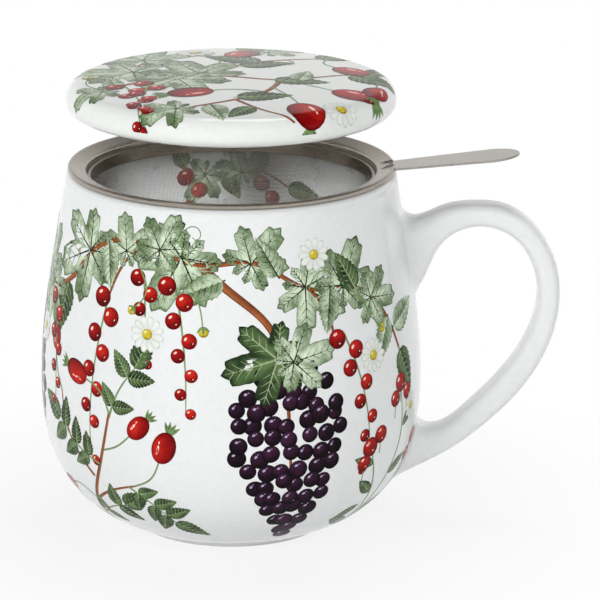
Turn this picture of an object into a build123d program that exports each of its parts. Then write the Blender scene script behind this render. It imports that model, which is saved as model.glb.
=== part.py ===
from build123d import *
import os
from math import atan2, cos, radians, sin, sqrt, tan

# A bellied porcelain tea mug with a lift-out wire-mesh strainer and a loose porcelain lid.
# Millimetres. The origin is on the mug's axis at the table, +Z is up and the handle points along +X.

# Mug: radii are to the outside of the wall, heights are above the table.
mug_height = 89.6
rim_radius = 40.4
lip_thickness = 3.4
lip_fullness = 0.98  # the share of the lip's thickness that its two roundings take up
shoulder_radius = 44.1
shoulder_height = 68.2
belly_radius = 47.2
belly_height = 37.0
flank_radius = 43.7
flank_height = 17.0
flank_lean = 24.0  # degrees by which the flank faces downwards
wall = 3.6
floor_thickness = 4.0
floor_radius = 24.0
foot_radius = 24.0
foot_width = 3.2
foot_height = 1.0
foot_recess = 1.8
foot_bevel = 0.5
underside_slope = 12.0  # degrees, where the wall leaves the foot

# Handle: each station is the strap's back edge, its front edge (the finger side) and its width.
# The first and the last lie inside the wall, so that the strap flares out where it meets it.
strap_width = 9.4
strap_squareness = 0.80  # 0.71 is a true oval, 1 is a rectangle
handle_stations = [
    ((37.0, 80.0), (39.0, 54.0), 19.0),
    ((44.5, 77.6), (46.6, 61.0), 12.6),
    ((51.8, 80.1), (51.1, 70.5), strap_width + 0.6),
    ((59.0, 81.3), (58.3, 75.2), strap_width),
    ((68.8, 79.9), (66.1, 74.4), strap_width),
    ((77.2, 72.0), (71.9, 69.7), strap_width),
    ((81.1, 59.0), (75.4, 59.0), strap_width),
    ((79.0, 46.4), (73.3, 48.5), strap_width),
    ((71.6, 33.4), (66.5, 37.7), strap_width),
    ((62.4, 24.2), (58.2, 29.0), strap_width + 0.3),
    ((52.6, 17.2), (50.9, 23.9), 11.0),
    ((43.5, 12.6), (45.4, 25.0), 13.5),
    ((34.0, 7.5), (38.0, 29.0), 18.0),
]

# Strainer: a pressed ring that hangs on the rim, a drawn mesh cup and the band that clamps it.
seat_gap = 0.05  # between pieces that rest on each other
hem_radius = 0.7
hem_bevel = 0.4
hem_offset = 0.29  # from the crest of the lip out to the middle of the hem
sheet = 0.5
flange_slope = 16.0
collar_gap = 1.1  # between the collar and the inside of the lip
collar_depth = 4.2
collar_bevel = 0.6
clamp_gap = 0.05
mesh_thickness = 0.5
mesh_drop = 0.9  # from the top of the collar down to the mesh's edge
mesh_skirt = 3.6
mesh_depth = 59.0
mesh_taper = 4.75  # by which the mesh's floor is smaller in radius than its top
mesh_corner = 9.0
band_thickness = 0.4
band_height = 3.2
band_drop = 0.5
rib_radius = 0.35
rib_spread = 2.0
rib_margin = 1.1  # between each end of a rib and the edge of the flange

# Tab: the tongue by which the strainer is lifted, one sheet with the ring.
tab_length = 31.4  # from the middle of the hem
tab_root_width = 8.6
tab_width = 12.2
tab_tip_length = 7.2
tab_rise = 6.0  # degrees

# Lid
lid_overhang = 0.3  # by which the lid is larger in radius than the hem
lid_edge = 7.15
lid_crown = 1.75
lid_top_share = 0.56  # the part of the edge's height that its upper rounding takes
lid_bottom_share = 0.43
lid_play = 1.8  # between the ring under the lid and the slope of the flange
lid_ring_width = 3.0
lid_ring_depth = 1.0
lid_ring_bevel = 0.3
lid_hollow = 1.2
lid_lift = 13.2  # height at which the lid is held over its seat

# Heights that follow from the sizes above.
inner_rim_radius = rim_radius - lip_thickness
inner_shoulder_radius = shoulder_radius - wall
outer_lean = atan2(shoulder_radius - rim_radius, mug_height - shoulder_height)
inner_lean = atan2(inner_shoulder_radius - inner_rim_radius, mug_height - shoulder_height)
outer_share = (1 - sin(outer_lean)) / cos(outer_lean)
inner_share = (1 + sin(inner_lean)) / cos(inner_lean)
lip_rounding = lip_fullness * lip_thickness / (outer_share + inner_share)
crest_radius = rim_radius - lip_rounding * outer_share
hem_centre_radius = crest_radius + hem_offset
hem_reach = lip_rounding + hem_radius + seat_gap
hem_rise = sqrt(hem_reach**2 - (hem_centre_radius - crest_radius) ** 2)
hem_height = mug_height - lip_rounding + hem_rise
hem_top = hem_height + hem_radius
collar_radius = inner_rim_radius - collar_gap - sheet
collar_top = hem_top - (hem_centre_radius - collar_radius) * tan(radians(flange_slope))
floor_height = foot_recess + floor_thickness
mesh_outer_radius = collar_radius - clamp_gap
band_outer_radius = mesh_outer_radius - mesh_thickness - clamp_gap
band_inner_radius = band_outer_radius - band_thickness
mesh_floor_radius = mesh_outer_radius - mesh_taper
mesh_top = collar_top - mesh_drop
mesh_bottom = mesh_top - mesh_depth
lid_radius = hem_centre_radius + hem_radius + lid_overhang
lid_seat = hem_top + seat_gap
lid_top_rounding = lid_edge * lid_top_share
lid_bottom_rounding = lid_edge * lid_bottom_share
lid_ring_radius = hem_centre_radius - (lid_ring_depth - seat_gap) / tan(radians(flange_slope)) - lid_play
crown_radius = (lid_radius**2 + lid_crown**2) / (2 * lid_crown)


def at(radius, height):
    """A point of a turned profile, in the plane of the handle."""
    return Vector(radius, 0, height)


def turned(edges):
    """The solid that a closed profile sweeps round the mug's axis."""
    return revolve(make_face(Wire(edges)), Axis.Z, 360)


def circles_at(solid, radius, height):
    """The round edges of a turned solid at one radius and height."""
    near = 0.02
    found = []
    for edge in solid.edges().filter_by(GeomType.CIRCLE):
        centre = edge.arc_center
        on_axis = abs(centre.X) < near and abs(centre.Y) < near
        if on_axis and abs(edge.radius - radius) < near and abs(centre.Z - height) < near:
            found.append(edge)
    return found


def bend(start, end, leaving, arriving):
    """A smooth curve between two profile points, with its direction given at both."""
    return Spline(start, end, tangents=[leaving, arriving])


def mug_side():
    """The outside of the wall, from the foot to the rim, straight above the shoulder."""
    rise = radians(underside_slope)
    lean = radians(flank_lean)
    foot = at(foot_radius, foot_height)
    flank = at(flank_radius, flank_height)
    belly = at(belly_radius, belly_height)
    shoulder = at(shoulder_radius, shoulder_height)
    rim = at(rim_radius, mug_height)
    return [
        bend(foot, flank, at(cos(rise), sin(rise)), at(sin(lean), cos(lean))),
        bend(flank, belly, at(sin(lean), cos(lean)), at(0, 1)),
        bend(belly, shoulder, at(0, 1), rim - shoulder),
        Line(shoulder, rim),
    ]


def cup_side():
    """The inside of the wall, from the rim down to the flat of the floor."""
    lean = radians(flank_lean)
    rim = at(inner_rim_radius, mug_height)
    shoulder = at(inner_shoulder_radius, shoulder_height)
    belly = at(belly_radius - wall, belly_height)
    flank = at(flank_radius - wall * cos(lean), flank_height + wall * sin(lean))
    floor_edge = at(floor_radius, floor_height)
    return [
        Line(rim, shoulder),
        bend(shoulder, belly, shoulder - rim, at(0, -1)),
        bend(belly, flank, at(0, -1), at(-sin(lean), -cos(lean))),
        bend(flank, floor_edge, at(-sin(lean), -cos(lean)), at(-1, 0)),
    ]


def mug_block():
    """The mug's outer form, filled in, which trims the handle to the wall."""
    profile = [
        Line(at(0, 0), at(foot_radius, 0)),
        Line(at(foot_radius, 0), at(foot_radius, foot_height)),
        *mug_side(),
        Line(at(rim_radius, mug_height), at(0, mug_height)),
        Line(at(0, mug_height), at(0, 0)),
    ]
    return turned(profile)


def mug_body():
    """The thrown wall and floor, with a rounded lip and a foot ring round a recess."""
    foot_inner = foot_radius - foot_width
    profile = [
        Line(at(0, foot_recess), at(foot_inner, foot_recess)),
        Line(at(foot_inner, foot_recess), at(foot_inner, 0)),
        Line(at(foot_inner, 0), at(foot_radius, 0)),
        Line(at(foot_radius, 0), at(foot_radius, foot_height)),
        *mug_side(),
        Line(at(rim_radius, mug_height), at(inner_rim_radius, mug_height)),
        *cup_side(),
        Line(at(floor_radius, floor_height), at(0, floor_height)),
        Line(at(0, floor_height), at(0, foot_recess)),
    ]
    body = turned(profile)
    lip_edges = circles_at(body, rim_radius, mug_height) + circles_at(body, inner_rim_radius, mug_height)
    body = fillet(lip_edges, lip_rounding)
    foot_edges = circles_at(body, foot_radius, 0) + circles_at(body, foot_inner, 0)
    return chamfer(foot_edges, foot_bevel)


def strap_section(back, front, width):
    """A softened oval across the strap, from its back edge to its front edge."""
    back_point = at(*back)
    front_point = at(*front)
    across = (front_point - back_point) * 0.5
    centre = back_point + across
    side = Vector(0, width / 2, 0)
    corner_across = across * strap_squareness
    corner_side = side * strap_squareness
    points = [
        centre + side,
        centre + corner_side + corner_across,
        centre + across,
        centre - corner_side + corner_across,
        centre - side,
        centre - corner_side - corner_across,
        centre - across,
        centre + corner_side - corner_across,
    ]
    return make_face(Wire([Spline(points, periodic=True)]))


def mug_handle():
    """The ear-shaped strap, flared at both roots and trimmed to the wall."""
    sections = [strap_section(*station) for station in handle_stations]
    return loft(sections) - mug_block()


def strainer_ring():
    """The pressed ring in section: a hem on the mug's lip, a dished flange and a collar."""
    slope = radians(flange_slope)
    drop = sheet / cos(slope)
    collar_outer = collar_radius + sheet
    outer_top = hem_top - (hem_centre_radius - collar_outer) * tan(slope)
    collar_bottom = collar_top - collar_depth
    points = [
        at(hem_centre_radius, hem_top),
        at(collar_radius, collar_top),
        at(collar_radius, collar_bottom),
        at(collar_outer, collar_bottom),
        at(collar_outer, outer_top - drop),
        at(hem_centre_radius, hem_top - drop),
    ]
    ring = turned(Polyline(*points, close=True).edges())
    ring = chamfer(circles_at(ring, collar_radius, collar_top), collar_bevel)
    hem = chamfer(Rectangle(hem_radius * 2, hem_radius * 2).vertices(), hem_bevel)
    return ring + revolve(Plane.XZ * Pos(hem_centre_radius, hem_height) * hem, Axis.Z, 360)


def strainer_tab():
    """The rising tongue, widening to a rounded tip."""
    root = hem_centre_radius - hem_radius / 2
    wide = hem_centre_radius + tab_length - tab_tip_length
    half_root = tab_root_width / 2
    half_wide = tab_width / 2
    sides = [
        Line((root, -half_root), (wide, -half_wide)),
        Line((wide, half_wide), (root, half_root)),
        Line((root, half_root), (root, -half_root)),
    ]
    tip = EllipticalCenterArc((wide, 0), tab_tip_length, half_wide, start_angle=-90, arc_size=180)
    outline = make_face(Wire(sides + [tip]))
    tongue = extrude(outline, sheet / 2, both=True)
    hinge_line = Axis((hem_centre_radius, 0, 0), (0, 1, 0))
    return Pos(0, 0, hem_height) * tongue.rotate(hinge_line, -tab_rise)


def strainer_rib(side):
    """One of the two beads pressed into the flange in line with the tab."""
    slope = radians(flange_slope)
    inner_end = collar_radius + rib_margin
    length = hem_centre_radius - rib_margin - inner_end
    height = hem_top - (hem_centre_radius - inner_end) * tan(slope)
    start = Vector(inner_end, side * rib_spread, height)
    run = Vector(length, 0, length * tan(slope))
    bead = extrude(Plane(start, z_dir=run) * Circle(rib_radius), run.length)
    ends = [Pos(*start) * Sphere(rib_radius), Pos(*(start + run)) * Sphere(rib_radius)]
    return bead + ends


def strainer_rim():
    """Ring, tab and beads in one pressed piece."""
    return strainer_ring() + strainer_tab() + strainer_rib(-1) + strainer_rib(1)


def mesh_form(inset):
    """The filled shape of the mesh cup, drawn in all round by inset."""
    top_radius = mesh_outer_radius - inset
    bottom_radius = mesh_floor_radius - inset
    bottom = mesh_bottom + inset
    skirt_end = mesh_top - mesh_skirt
    points = [
        at(0, mesh_top),
        at(top_radius, mesh_top),
        at(top_radius, skirt_end),
        at(bottom_radius, bottom),
        at(0, bottom),
    ]
    form = turned(Polyline(*points, close=True).edges())
    return fillet(circles_at(form, bottom_radius, bottom), mesh_corner - inset)


def strainer_mesh():
    """The deep-drawn wire cloth as a plain wall: two wires thick, open at the top."""
    return mesh_form(0) - mesh_form(mesh_thickness)


def strainer_band():
    """The inner band that clamps the mesh against the collar."""
    top = mesh_top - band_drop
    points = [
        at(band_inner_radius, top),
        at(band_outer_radius, top),
        at(band_outer_radius, top - band_height),
        at(band_inner_radius, top - band_height),
    ]
    band = turned(Polyline(*points, close=True).edges())
    return chamfer(circles_at(band, band_inner_radius, top), band_thickness / 2)


def lid():
    """The disc with full roundings, a low crown and the shallow ring that centres it in the flange's dish."""
    bottom = lid_seat + lid_lift
    rim_top = bottom + lid_edge
    ring_inner = lid_ring_radius - lid_ring_width
    ring_bottom = bottom - lid_ring_depth
    hollow = bottom + lid_hollow
    centre = at(0, rim_top + lid_crown)
    half_way = lid_radius / 2
    sag = crown_radius - sqrt(crown_radius**2 - half_way**2)
    profile = [
        Line(at(0, hollow), at(ring_inner, hollow)),
        Line(at(ring_inner, hollow), at(ring_inner, ring_bottom)),
        Line(at(ring_inner, ring_bottom), at(lid_ring_radius, ring_bottom)),
        Line(at(lid_ring_radius, ring_bottom), at(lid_ring_radius, bottom)),
        Line(at(lid_ring_radius, bottom), at(lid_radius, bottom)),
        Line(at(lid_radius, bottom), at(lid_radius, rim_top)),
        ThreePointArc(at(lid_radius, rim_top), at(half_way, rim_top + lid_crown - sag), centre),
        Line(centre, at(0, hollow)),
    ]
    disc = turned(profile)
    disc = fillet(circles_at(disc, lid_radius, rim_top), lid_top_rounding)
    disc = fillet(circles_at(disc, lid_radius, bottom), lid_bottom_rounding)
    ring_edges = circles_at(disc, lid_ring_radius, ring_bottom) + circles_at(disc, ring_inner, ring_bottom)
    return chamfer(ring_edges, lid_ring_bevel)


pieces = {
    "mug_body": mug_body,
    "mug_handle": mug_handle,
    "strainer_rim": strainer_rim,
    "strainer_mesh": strainer_mesh,
    "strainer_band": strainer_band,
    "lid": lid,
}

os.makedirs("parts", exist_ok=True)
for name, make in pieces.items():
    export_step(make(), f"parts/{name}.step")
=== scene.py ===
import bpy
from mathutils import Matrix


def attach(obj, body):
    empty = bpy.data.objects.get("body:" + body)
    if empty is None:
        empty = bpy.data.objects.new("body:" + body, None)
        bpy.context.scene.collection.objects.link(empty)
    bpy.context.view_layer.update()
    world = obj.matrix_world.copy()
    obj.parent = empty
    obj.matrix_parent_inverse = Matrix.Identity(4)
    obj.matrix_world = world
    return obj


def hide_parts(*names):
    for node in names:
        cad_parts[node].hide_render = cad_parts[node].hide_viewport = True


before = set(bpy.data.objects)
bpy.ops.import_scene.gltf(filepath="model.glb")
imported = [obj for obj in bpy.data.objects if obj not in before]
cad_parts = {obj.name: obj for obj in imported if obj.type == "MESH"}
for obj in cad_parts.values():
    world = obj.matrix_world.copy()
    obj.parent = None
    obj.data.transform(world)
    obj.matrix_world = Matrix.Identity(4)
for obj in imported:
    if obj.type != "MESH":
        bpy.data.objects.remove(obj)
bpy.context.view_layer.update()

import math

import bmesh
import bpy
import numpy as np
from mathutils import Matrix, Vector

MM = 0.001

# Sizes in millimetres, the same as the solids': radii are from the mug's axis, heights are above the table.
MUG_HEIGHT = 89.6
RIM_RADIUS = 40.4
LIP = 3.4
LIP_ROUNDING = 1.65
SHOULDER = (44.1, 68.2)
BELLY = (47.2, 37.0)
FLANK = (43.7, 17.0)
FLANK_LEAN = 24.0
FOOT = (24.0, 1.0)
FOOT_WIDTH = 3.2
FOOT_RECESS = 1.8
UNDERSIDE_SLOPE = 12.0
WALL = 3.6
FLOOR = 5.8
INSET = 0.2  # the glazed skin lies this far inside the solid, which leaves room for the print

HEM_RADIUS = 0.7
HEM_CENTRE = (39.3, 90.33)
SHEET = 0.5
FLANGE_SLOPE = 16.0
COLLAR_RADIUS = 35.4
COLLAR_DEPTH = 4.2
COLLAR_BEND = 1.0
HEM_TOP = HEM_CENTRE[1] + HEM_RADIUS
MESH_TOP = 89.0
MESH_BOTTOM = 30.02
MESH_MIDDLE = 35.1  # radius to the middle of the woven cloth
MESH_FLOOR = 30.35
MESH_CORNER = 8.75
MESH_SKIRT = 3.6
BAND = (34.8, 0.4, 88.5, 3.2)  # outer radius, thickness, top and height
BAND_LIP = (35.35, 0.32)  # reach and thickness of the roll at the band's top, over the cloth's edge

LID_RADIUS = 40.2
LID_BOTTOM = 104.28
LID_EDGE = 6.95
LID_CROWN = 1.75
LID_TOP_ROUNDING = 4.0
LID_BOTTOM_ROUNDING = 3.05
LID_RING = (34.19, 31.19, 1.0)  # outer radius, inner radius and depth
LID_HOLLOW = 1.2


# ---------------------------------------------------------------- curves and meshes

def unit(vector):
    vector = np.asarray(vector, float)
    return vector / np.linalg.norm(vector)


def bend(start, end, leaving, arriving, count):
    """A smooth curve between two profile points, with its direction given at both."""
    start, end = np.array(start, float), np.array(end, float)
    chord = np.linalg.norm(end - start)
    a, b = unit(leaving) * chord, unit(arriving) * chord
    t = np.linspace(0, 1, count)[:, None]
    return ((2 * t**3 - 3 * t**2 + 1) * start + (t**3 - 2 * t**2 + t) * a
            + (3 * t**2 - 2 * t**3) * end + (t**3 - t**2) * b)


def arc(centre, radius, start, end, count):
    turn = np.radians(np.linspace(start, end, count))
    return np.array(centre) + radius * np.c_[np.cos(turn), np.sin(turn)]


def line(start, end, count):
    t = np.linspace(0, 1, count)[:, None]
    return (1 - t) * np.array(start, float) + t * np.array(end, float)


def joined(*runs):
    """One profile from several, without the points that they share."""
    points = np.vstack([np.atleast_2d(np.array(run, float)) for run in runs])
    steps = np.linalg.norm(np.diff(points, axis=0), axis=1)
    return points[np.r_[True, steps > 1e-4]]


def lengths_along(points):
    """How far along a path each of its points lies."""
    return np.r_[0, np.cumsum(np.linalg.norm(np.diff(points, axis=0), axis=1))]


def round_turns(count):
    """Angles all the way round, in even steps."""
    return np.linspace(0, 2 * math.pi, count, endpoint=False)


def grid_faces(rows, wide, base=0, ring=False, closed=False, flip=False):
    """Faces between rows of points. With ring each row is closed; with closed the rows join up as well."""
    faces = []
    for i in range(rows if closed else rows - 1):
        a, b = base + i * wide, base + (i + 1) % rows * wide
        for j in range(wide if ring or closed else wide - 1):
            k = (j + 1) % wide
            faces.append((a + j, b + j, b + k, a + k) if flip else (a + j, a + k, b + k, b + j))
    return faces


def end_faces(wide, middles, starts, flip=False):
    """Triangles that close a tube's two ends, from each end's middle point to the ring that starts there."""
    faces = []
    for j in range(wide):
        k = (j + 1) % wide
        if flip:
            j, k = k, j
        faces += [(middles[0], starts[0] + k, starts[0] + j), (middles[1], starts[1] + j, starts[1] + k)]
    return faces


def linked(name, mesh):
    piece = bpy.data.objects.new(name, mesh)
    bpy.context.scene.collection.objects.link(piece)
    return piece


def mesh_object(name, vertices, faces, materials, smooth=True):
    mesh = bpy.data.meshes.new(name)
    mesh.from_pydata((np.asarray(vertices) * MM).tolist(), [], faces)
    mesh.polygons.foreach_set("use_smooth", [smooth] * len(mesh.polygons))
    for material in materials:
        mesh.materials.append(material)
    mesh.update()
    return linked(name, mesh)


def spun(name, profile, material, segments=240, closed=False):
    """A turned piece. An open profile starts and ends on the axis, and a closed one is a ring."""
    profile = np.asarray(profile, float)
    rows = profile if closed else profile[1:-1]
    turn = round_turns(segments)
    rings = [np.c_[radius * np.cos(turn), radius * np.sin(turn), np.full(segments, height)]
             for radius, height in rows]
    if closed:
        return mesh_object(name, np.vstack(rings), grid_faces(len(rows), segments, closed=True), [material])
    ends = [[0, 0, profile[0][1]], [0, 0, profile[-1][1]]]
    faces = grid_faces(len(rows), segments, base=2, ring=True)
    faces += end_faces(segments, (0, 1), (2, 2 + (len(rows) - 1) * segments))
    return mesh_object(name, np.vstack([ends, *rings]), faces, [material])


def smooth_path(points, count):
    """A natural cubic through the points, even in length, and the same for any number of columns."""
    points = np.asarray(points, float)
    knots = lengths_along(points[:, :3])
    return natural_cubic(knots, points, np.linspace(0, knots[-1], count))


def natural_cubic(knots, values, where):
    n = len(knots)
    h = np.diff(knots)
    slope = np.diff(values, axis=0) / h[:, None]
    system = np.eye(n)
    right = np.zeros_like(values)
    for i in range(1, n - 1):
        system[i, i - 1:i + 2] = h[i - 1], 2 * (h[i - 1] + h[i]), h[i]
        right[i] = 6 * (slope[i] - slope[i - 1])
    second = np.linalg.solve(system, right)
    i = np.clip(np.searchsorted(knots, where, side="right") - 1, 0, n - 2)
    t = (where - knots[i])[:, None]
    u = (knots[i + 1] - where)[:, None]
    step = h[i][:, None]
    return ((second[i] * u**3 + second[i + 1] * t**3) / (6 * step)
            + (values[i] / step - second[i] * step / 6) * u
            + (values[i + 1] / step - second[i + 1] * step / 6) * t)


def normals_of(points):
    """Unit normals of a profile, to the right of the way that it runs."""
    along = np.gradient(points, axis=0)
    normal = np.c_[along[:, 1], -along[:, 0]]
    return normal / np.linalg.norm(normal, axis=1)[:, None]


class TurnedLine:
    """A profile that is turned round the mug's axis, read by the way along it."""

    def __init__(self, points, side=1):
        self.points = points
        self.length = lengths_along(points)
        self.normals = side * normals_of(points)

    def at(self, run):
        """Radius and height at a run along the line."""
        return [np.interp(run, self.length, self.points[:, k]) for k in (0, 1)]

    def laid(self, run, way, lift):
        """Points over the surface by the lift, and its normals there. The way points level and outwards."""
        radius, height = self.at(run)
        out, up = (np.interp(run, self.length, self.normals[:, k]) for k in (0, 1))
        place = np.c_[way * (radius + out * lift)[:, None], height + up * lift]
        return place, np.c_[way * out[:, None], up]


# ---------------------------------------------------------------- the mug's form

FLANK_WAY = np.array([math.sin(math.radians(FLANK_LEAN)), math.cos(math.radians(FLANK_LEAN))])
FLOOR_RADIUS = 24.0
LIP_HEIGHT = MUG_HEIGHT - LIP_ROUNDING
LIP_SKIN = LIP_ROUNDING - INSET / 2
LIP_GAP = 4  # degrees left between the lip's arc and the wall, for the smooth normals between them


def lip_tangent(rim_radius, shoulder, side):
    """Where a wall meets the lip, outside (1) or inside (-1): way up, lip's middle, lean, and point."""
    up = unit(np.array([rim_radius, MUG_HEIGHT]) - shoulder)
    lean = math.atan2(-up[0], up[1])
    crest = rim_radius - side * LIP_ROUNDING * (1 - side * math.sin(lean)) / math.cos(lean)
    point = np.array([crest, LIP_HEIGHT]) + side * LIP_ROUNDING * np.array([math.cos(lean), math.sin(lean)])
    return up, crest, math.degrees(lean), point


def outer_wall():
    """The outside of the wall from the foot to the start of the lip."""
    rise = math.radians(UNDERSIDE_SLOPE)
    up, crest, lean, lip_start = lip_tangent(RIM_RADIUS, SHOULDER, 1)
    points = joined(
        bend(FOOT, FLANK, (math.cos(rise), math.sin(rise)), FLANK_WAY, 24),
        bend(FLANK, BELLY, FLANK_WAY, (0, 1), 18),
        bend(BELLY, SHOULDER, (0, 1), up, 24),
        line(SHOULDER, lip_start, 14),
    )
    return points, crest, lean


def inner_wall():
    """The inside of the cup from the end of the lip down to the middle of the floor."""
    shoulder, belly = (np.array([radius - WALL, height]) for radius, height in (SHOULDER, BELLY))
    flank = np.array(FLANK) + WALL * np.array([-FLANK_WAY[1], FLANK_WAY[0]])
    up, crest, lean, lip_end = lip_tangent(RIM_RADIUS - LIP, shoulder, -1)
    points = joined(
        line(lip_end, shoulder, 10),
        bend(shoulder, belly, -up, (0, -1), 16),
        bend(belly, flank, (0, -1), -FLANK_WAY, 12),
        bend(flank, (FLOOR_RADIUS, FLOOR), -FLANK_WAY, (-1, 0), 18),
        line((FLOOR_RADIUS, FLOOR), (0, FLOOR), 6),
    )
    return points, crest, lean


WALL_POINTS, OUTER_CREST, OUTER_LEAN = outer_wall()
CUP_POINTS, INNER_CREST, INNER_LEAN = inner_wall()
WALL_NORMALS = normals_of(WALL_POINTS)
SKIN = WALL_POINTS - WALL_NORMALS * INSET


def mug_shell(material):
    inner_foot = FOOT[0] - FOOT_WIDTH
    edge = 0.5
    profile = joined(
        line((0, FOOT_RECESS), (inner_foot - edge, FOOT_RECESS), 6),
        arc((inner_foot - edge, FOOT_RECESS - edge), edge, 90, 0, 4),
        arc((inner_foot + edge, edge), edge, 180, 270, 5),
        arc((FOOT[0] - edge, edge), edge, 270, 350, 5),
        SKIN[1:],
        arc((OUTER_CREST, LIP_HEIGHT), LIP_SKIN, OUTER_LEAN + LIP_GAP, 90, 10),
        arc((INNER_CREST, LIP_HEIGHT), LIP_SKIN, 90, 180 + INNER_LEAN - LIP_GAP, 11),
        CUP_POINTS[1:],
    )
    return spun("mug_shell", profile, material)


HANDLE_STATIONS = [
    ((37.0, 80.0), (39.0, 54.0), 19.0),
    ((44.5, 77.6), (46.6, 61.0), 12.6),
    ((51.8, 80.1), (51.1, 70.5), 10.0),
    ((59.0, 81.3), (58.3, 75.2), 9.4),
    ((68.8, 79.9), (66.1, 74.4), 9.4),
    ((77.2, 72.0), (71.9, 69.7), 9.4),
    ((81.1, 59.0), (75.4, 59.0), 9.4),
    ((79.0, 46.4), (73.3, 48.5), 9.4),
    ((71.6, 33.4), (66.5, 37.7), 9.4),
    ((62.4, 24.2), (58.2, 29.0), 9.7),
    ((52.6, 17.2), (50.9, 23.9), 11.0),
    ((43.5, 12.6), (45.4, 25.0), 13.5),
    ((34.0, 7.5), (38.0, 29.0), 18.0),
]
SECTION_POWER = 0.645  # softness of the strap's section: 1 is an oval, 0 a rectangle
FILLET_REACH = 2.6
FILLET_POINTS = 12
FILLET_SINK = 0.03  # the fillet ends this far inside the skin
ROOT_SINK = 1.2  # and the point that closes the strap's end this far
STRAP_RINGS, STRAP_SIDES, STRAND_POINTS = 150, 56, 74
BLENDED_RINGS = 6  # rings at each root whose normals run over into the wall's


def skin_at(height):
    """The glazed skin's radius at a height, and how far its normal points out and up."""
    return [np.interp(height, SKIN[:, 1], column) for column in (SKIN[:, 0], *WALL_NORMALS.T)]


def skin_distance(points):
    """How far points stand out of the glazed skin."""
    radius, out, _ = skin_at(points[..., 2])
    return (np.hypot(points[..., 0], points[..., 1]) - radius) * out


def onto_skin(point, depth):
    """The point moved level onto the skin, and depth below it."""
    scale = (skin_at(point[2])[0] - depth) / math.hypot(point[0], point[1])
    return point * np.array([scale, scale, 1])


def strap_rings():
    """Rings of points round the strap, from inside its upper root to inside its lower one."""
    back, front, width = (np.array(column) for column in zip(*HANDLE_STATIONS))
    rows = np.c_[(back + front) / 2, (front - back) / 2, width / 2]
    knots = lengths_along(rows[:, :2])
    fine = natural_cubic(knots, rows, np.linspace(0, knots[-1], STRAP_RINGS))
    turn = round_turns(STRAP_SIDES)
    across, side = (np.sign(wave) * np.abs(wave) ** SECTION_POWER for wave in (np.cos(turn), np.sin(turn)))
    return np.stack([fine[:, 0:1] + fine[:, 2:3] * across, fine[:, 4:5] * side,
                     fine[:, 1:2] + fine[:, 3:4] * across], -1)


def filleted_strand(strand, footprint):
    """One lengthwise line of the strap, from its middle to the end of its fillet on the wall."""
    gap = skin_distance(strand)
    last = int(np.argmax(gap < 0))
    share = gap[last - 1] / (gap[last - 1] - gap[last])
    crossing = strand[last - 1] * (1 - share) + strand[last] * share
    keep = last - 1
    length = np.linalg.norm(strand[keep] - crossing)
    while length < FILLET_REACH:
        keep -= 1
        length += np.linalg.norm(strand[keep + 1] - strand[keep])
    _, facing, rise = skin_at(crossing[2])
    normal = np.array([*unit(crossing[:2]) * facing, rise])
    out = crossing - footprint
    out = unit(out - normal * np.dot(out, normal))
    end = onto_skin(crossing + out * FILLET_REACH, FILLET_SINK)
    t = np.linspace(0, 1, FILLET_POINTS)[:, None]
    fillet = (1 - t) ** 2 * strand[keep] + 2 * t * (1 - t) * crossing + t**2 * end
    return np.vstack([strand[:keep], fillet])


def even_along(path, count):
    """The path with its points spread evenly, apart from its fillet, which keeps its own."""
    head = path[:len(path) - FILLET_POINTS + 1]
    steps = lengths_along(head)
    where = np.linspace(0, steps[-1], count - FILLET_POINTS + 1)
    spread = np.stack([np.interp(where, steps, head[:, k]) for k in range(3)], -1)
    return np.vstack([spread, path[len(path) - FILLET_POINTS + 1:]])


def handle(material):
    grid = strap_rings()
    middle = STRAP_RINGS // 2
    halves = []
    for half in (grid[:middle + 1][::-1], grid[middle:]):
        inside = np.argmax(skin_distance(half) < 0, axis=0)
        footprint = half[inside, np.arange(STRAP_SIDES)].mean(axis=0)
        halves.append(np.array([even_along(filleted_strand(half[:, j], footprint), STRAND_POINTS)
                                for j in range(STRAP_SIDES)]))
    upper, lower = halves
    lines = np.concatenate([upper[:, ::-1], lower[:, 1:]], axis=1)
    count = lines.shape[1]
    first = count * STRAP_SIDES
    middles = [onto_skin(ring.mean(axis=0), ROOT_SINK) for ring in (lines[:, 0], lines[:, -1])]
    vertices = np.vstack([lines.transpose(1, 0, 2).reshape(-1, 3), middles])
    faces = grid_faces(count, STRAP_SIDES, ring=True)
    faces += end_faces(STRAP_SIDES, (first, first + 1), (0, first - STRAP_SIDES))
    piece = mesh_object("handle", vertices, faces, [material])
    lean_on_wall(piece.data, vertices, count)
    return piece


def lean_on_wall(mesh, vertices, count):
    """Turns the normals of each root's last rings into the wall's own, so that no seam shows there."""
    normals = np.empty(len(mesh.vertices) * 3)
    mesh.vertex_normals.foreach_get("vector", normals)
    _, out, up = skin_at(vertices[:, 2])
    level = vertices[:, :2] / np.maximum(np.hypot(vertices[:, 0], vertices[:, 1]), 1e-6)[:, None]
    wall = np.c_[level * out[:, None], up]
    ring = np.repeat(np.arange(count), STRAP_SIDES)
    from_end = np.r_[np.minimum(ring, count - 1 - ring), 0, 0]
    share = np.clip(1 - from_end / BLENDED_RINGS, 0, 1)[:, None] ** 1.5
    blended = normals.reshape(-1, 3) * (1 - share) + wall * share
    blended /= np.linalg.norm(blended, axis=1)[:, None]
    mesh.normals_split_custom_set_from_vertices(blended.tolist())


# ---------------------------------------------------------------- lid, ring, band and tab

def lid_section():
    """The crown's radius and the middle of its circle, and the middle of the rounding that meets it."""
    crown_radius = (LID_RADIUS**2 + LID_CROWN**2) / (2 * LID_CROWN)
    crown_middle = LID_BOTTOM + LID_EDGE + LID_CROWN - crown_radius
    x = LID_RADIUS - LID_TOP_ROUNDING
    z = crown_middle + math.sqrt((crown_radius - LID_TOP_ROUNDING) ** 2 - x**2)
    return crown_radius, crown_middle, np.array([x, z])


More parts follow.
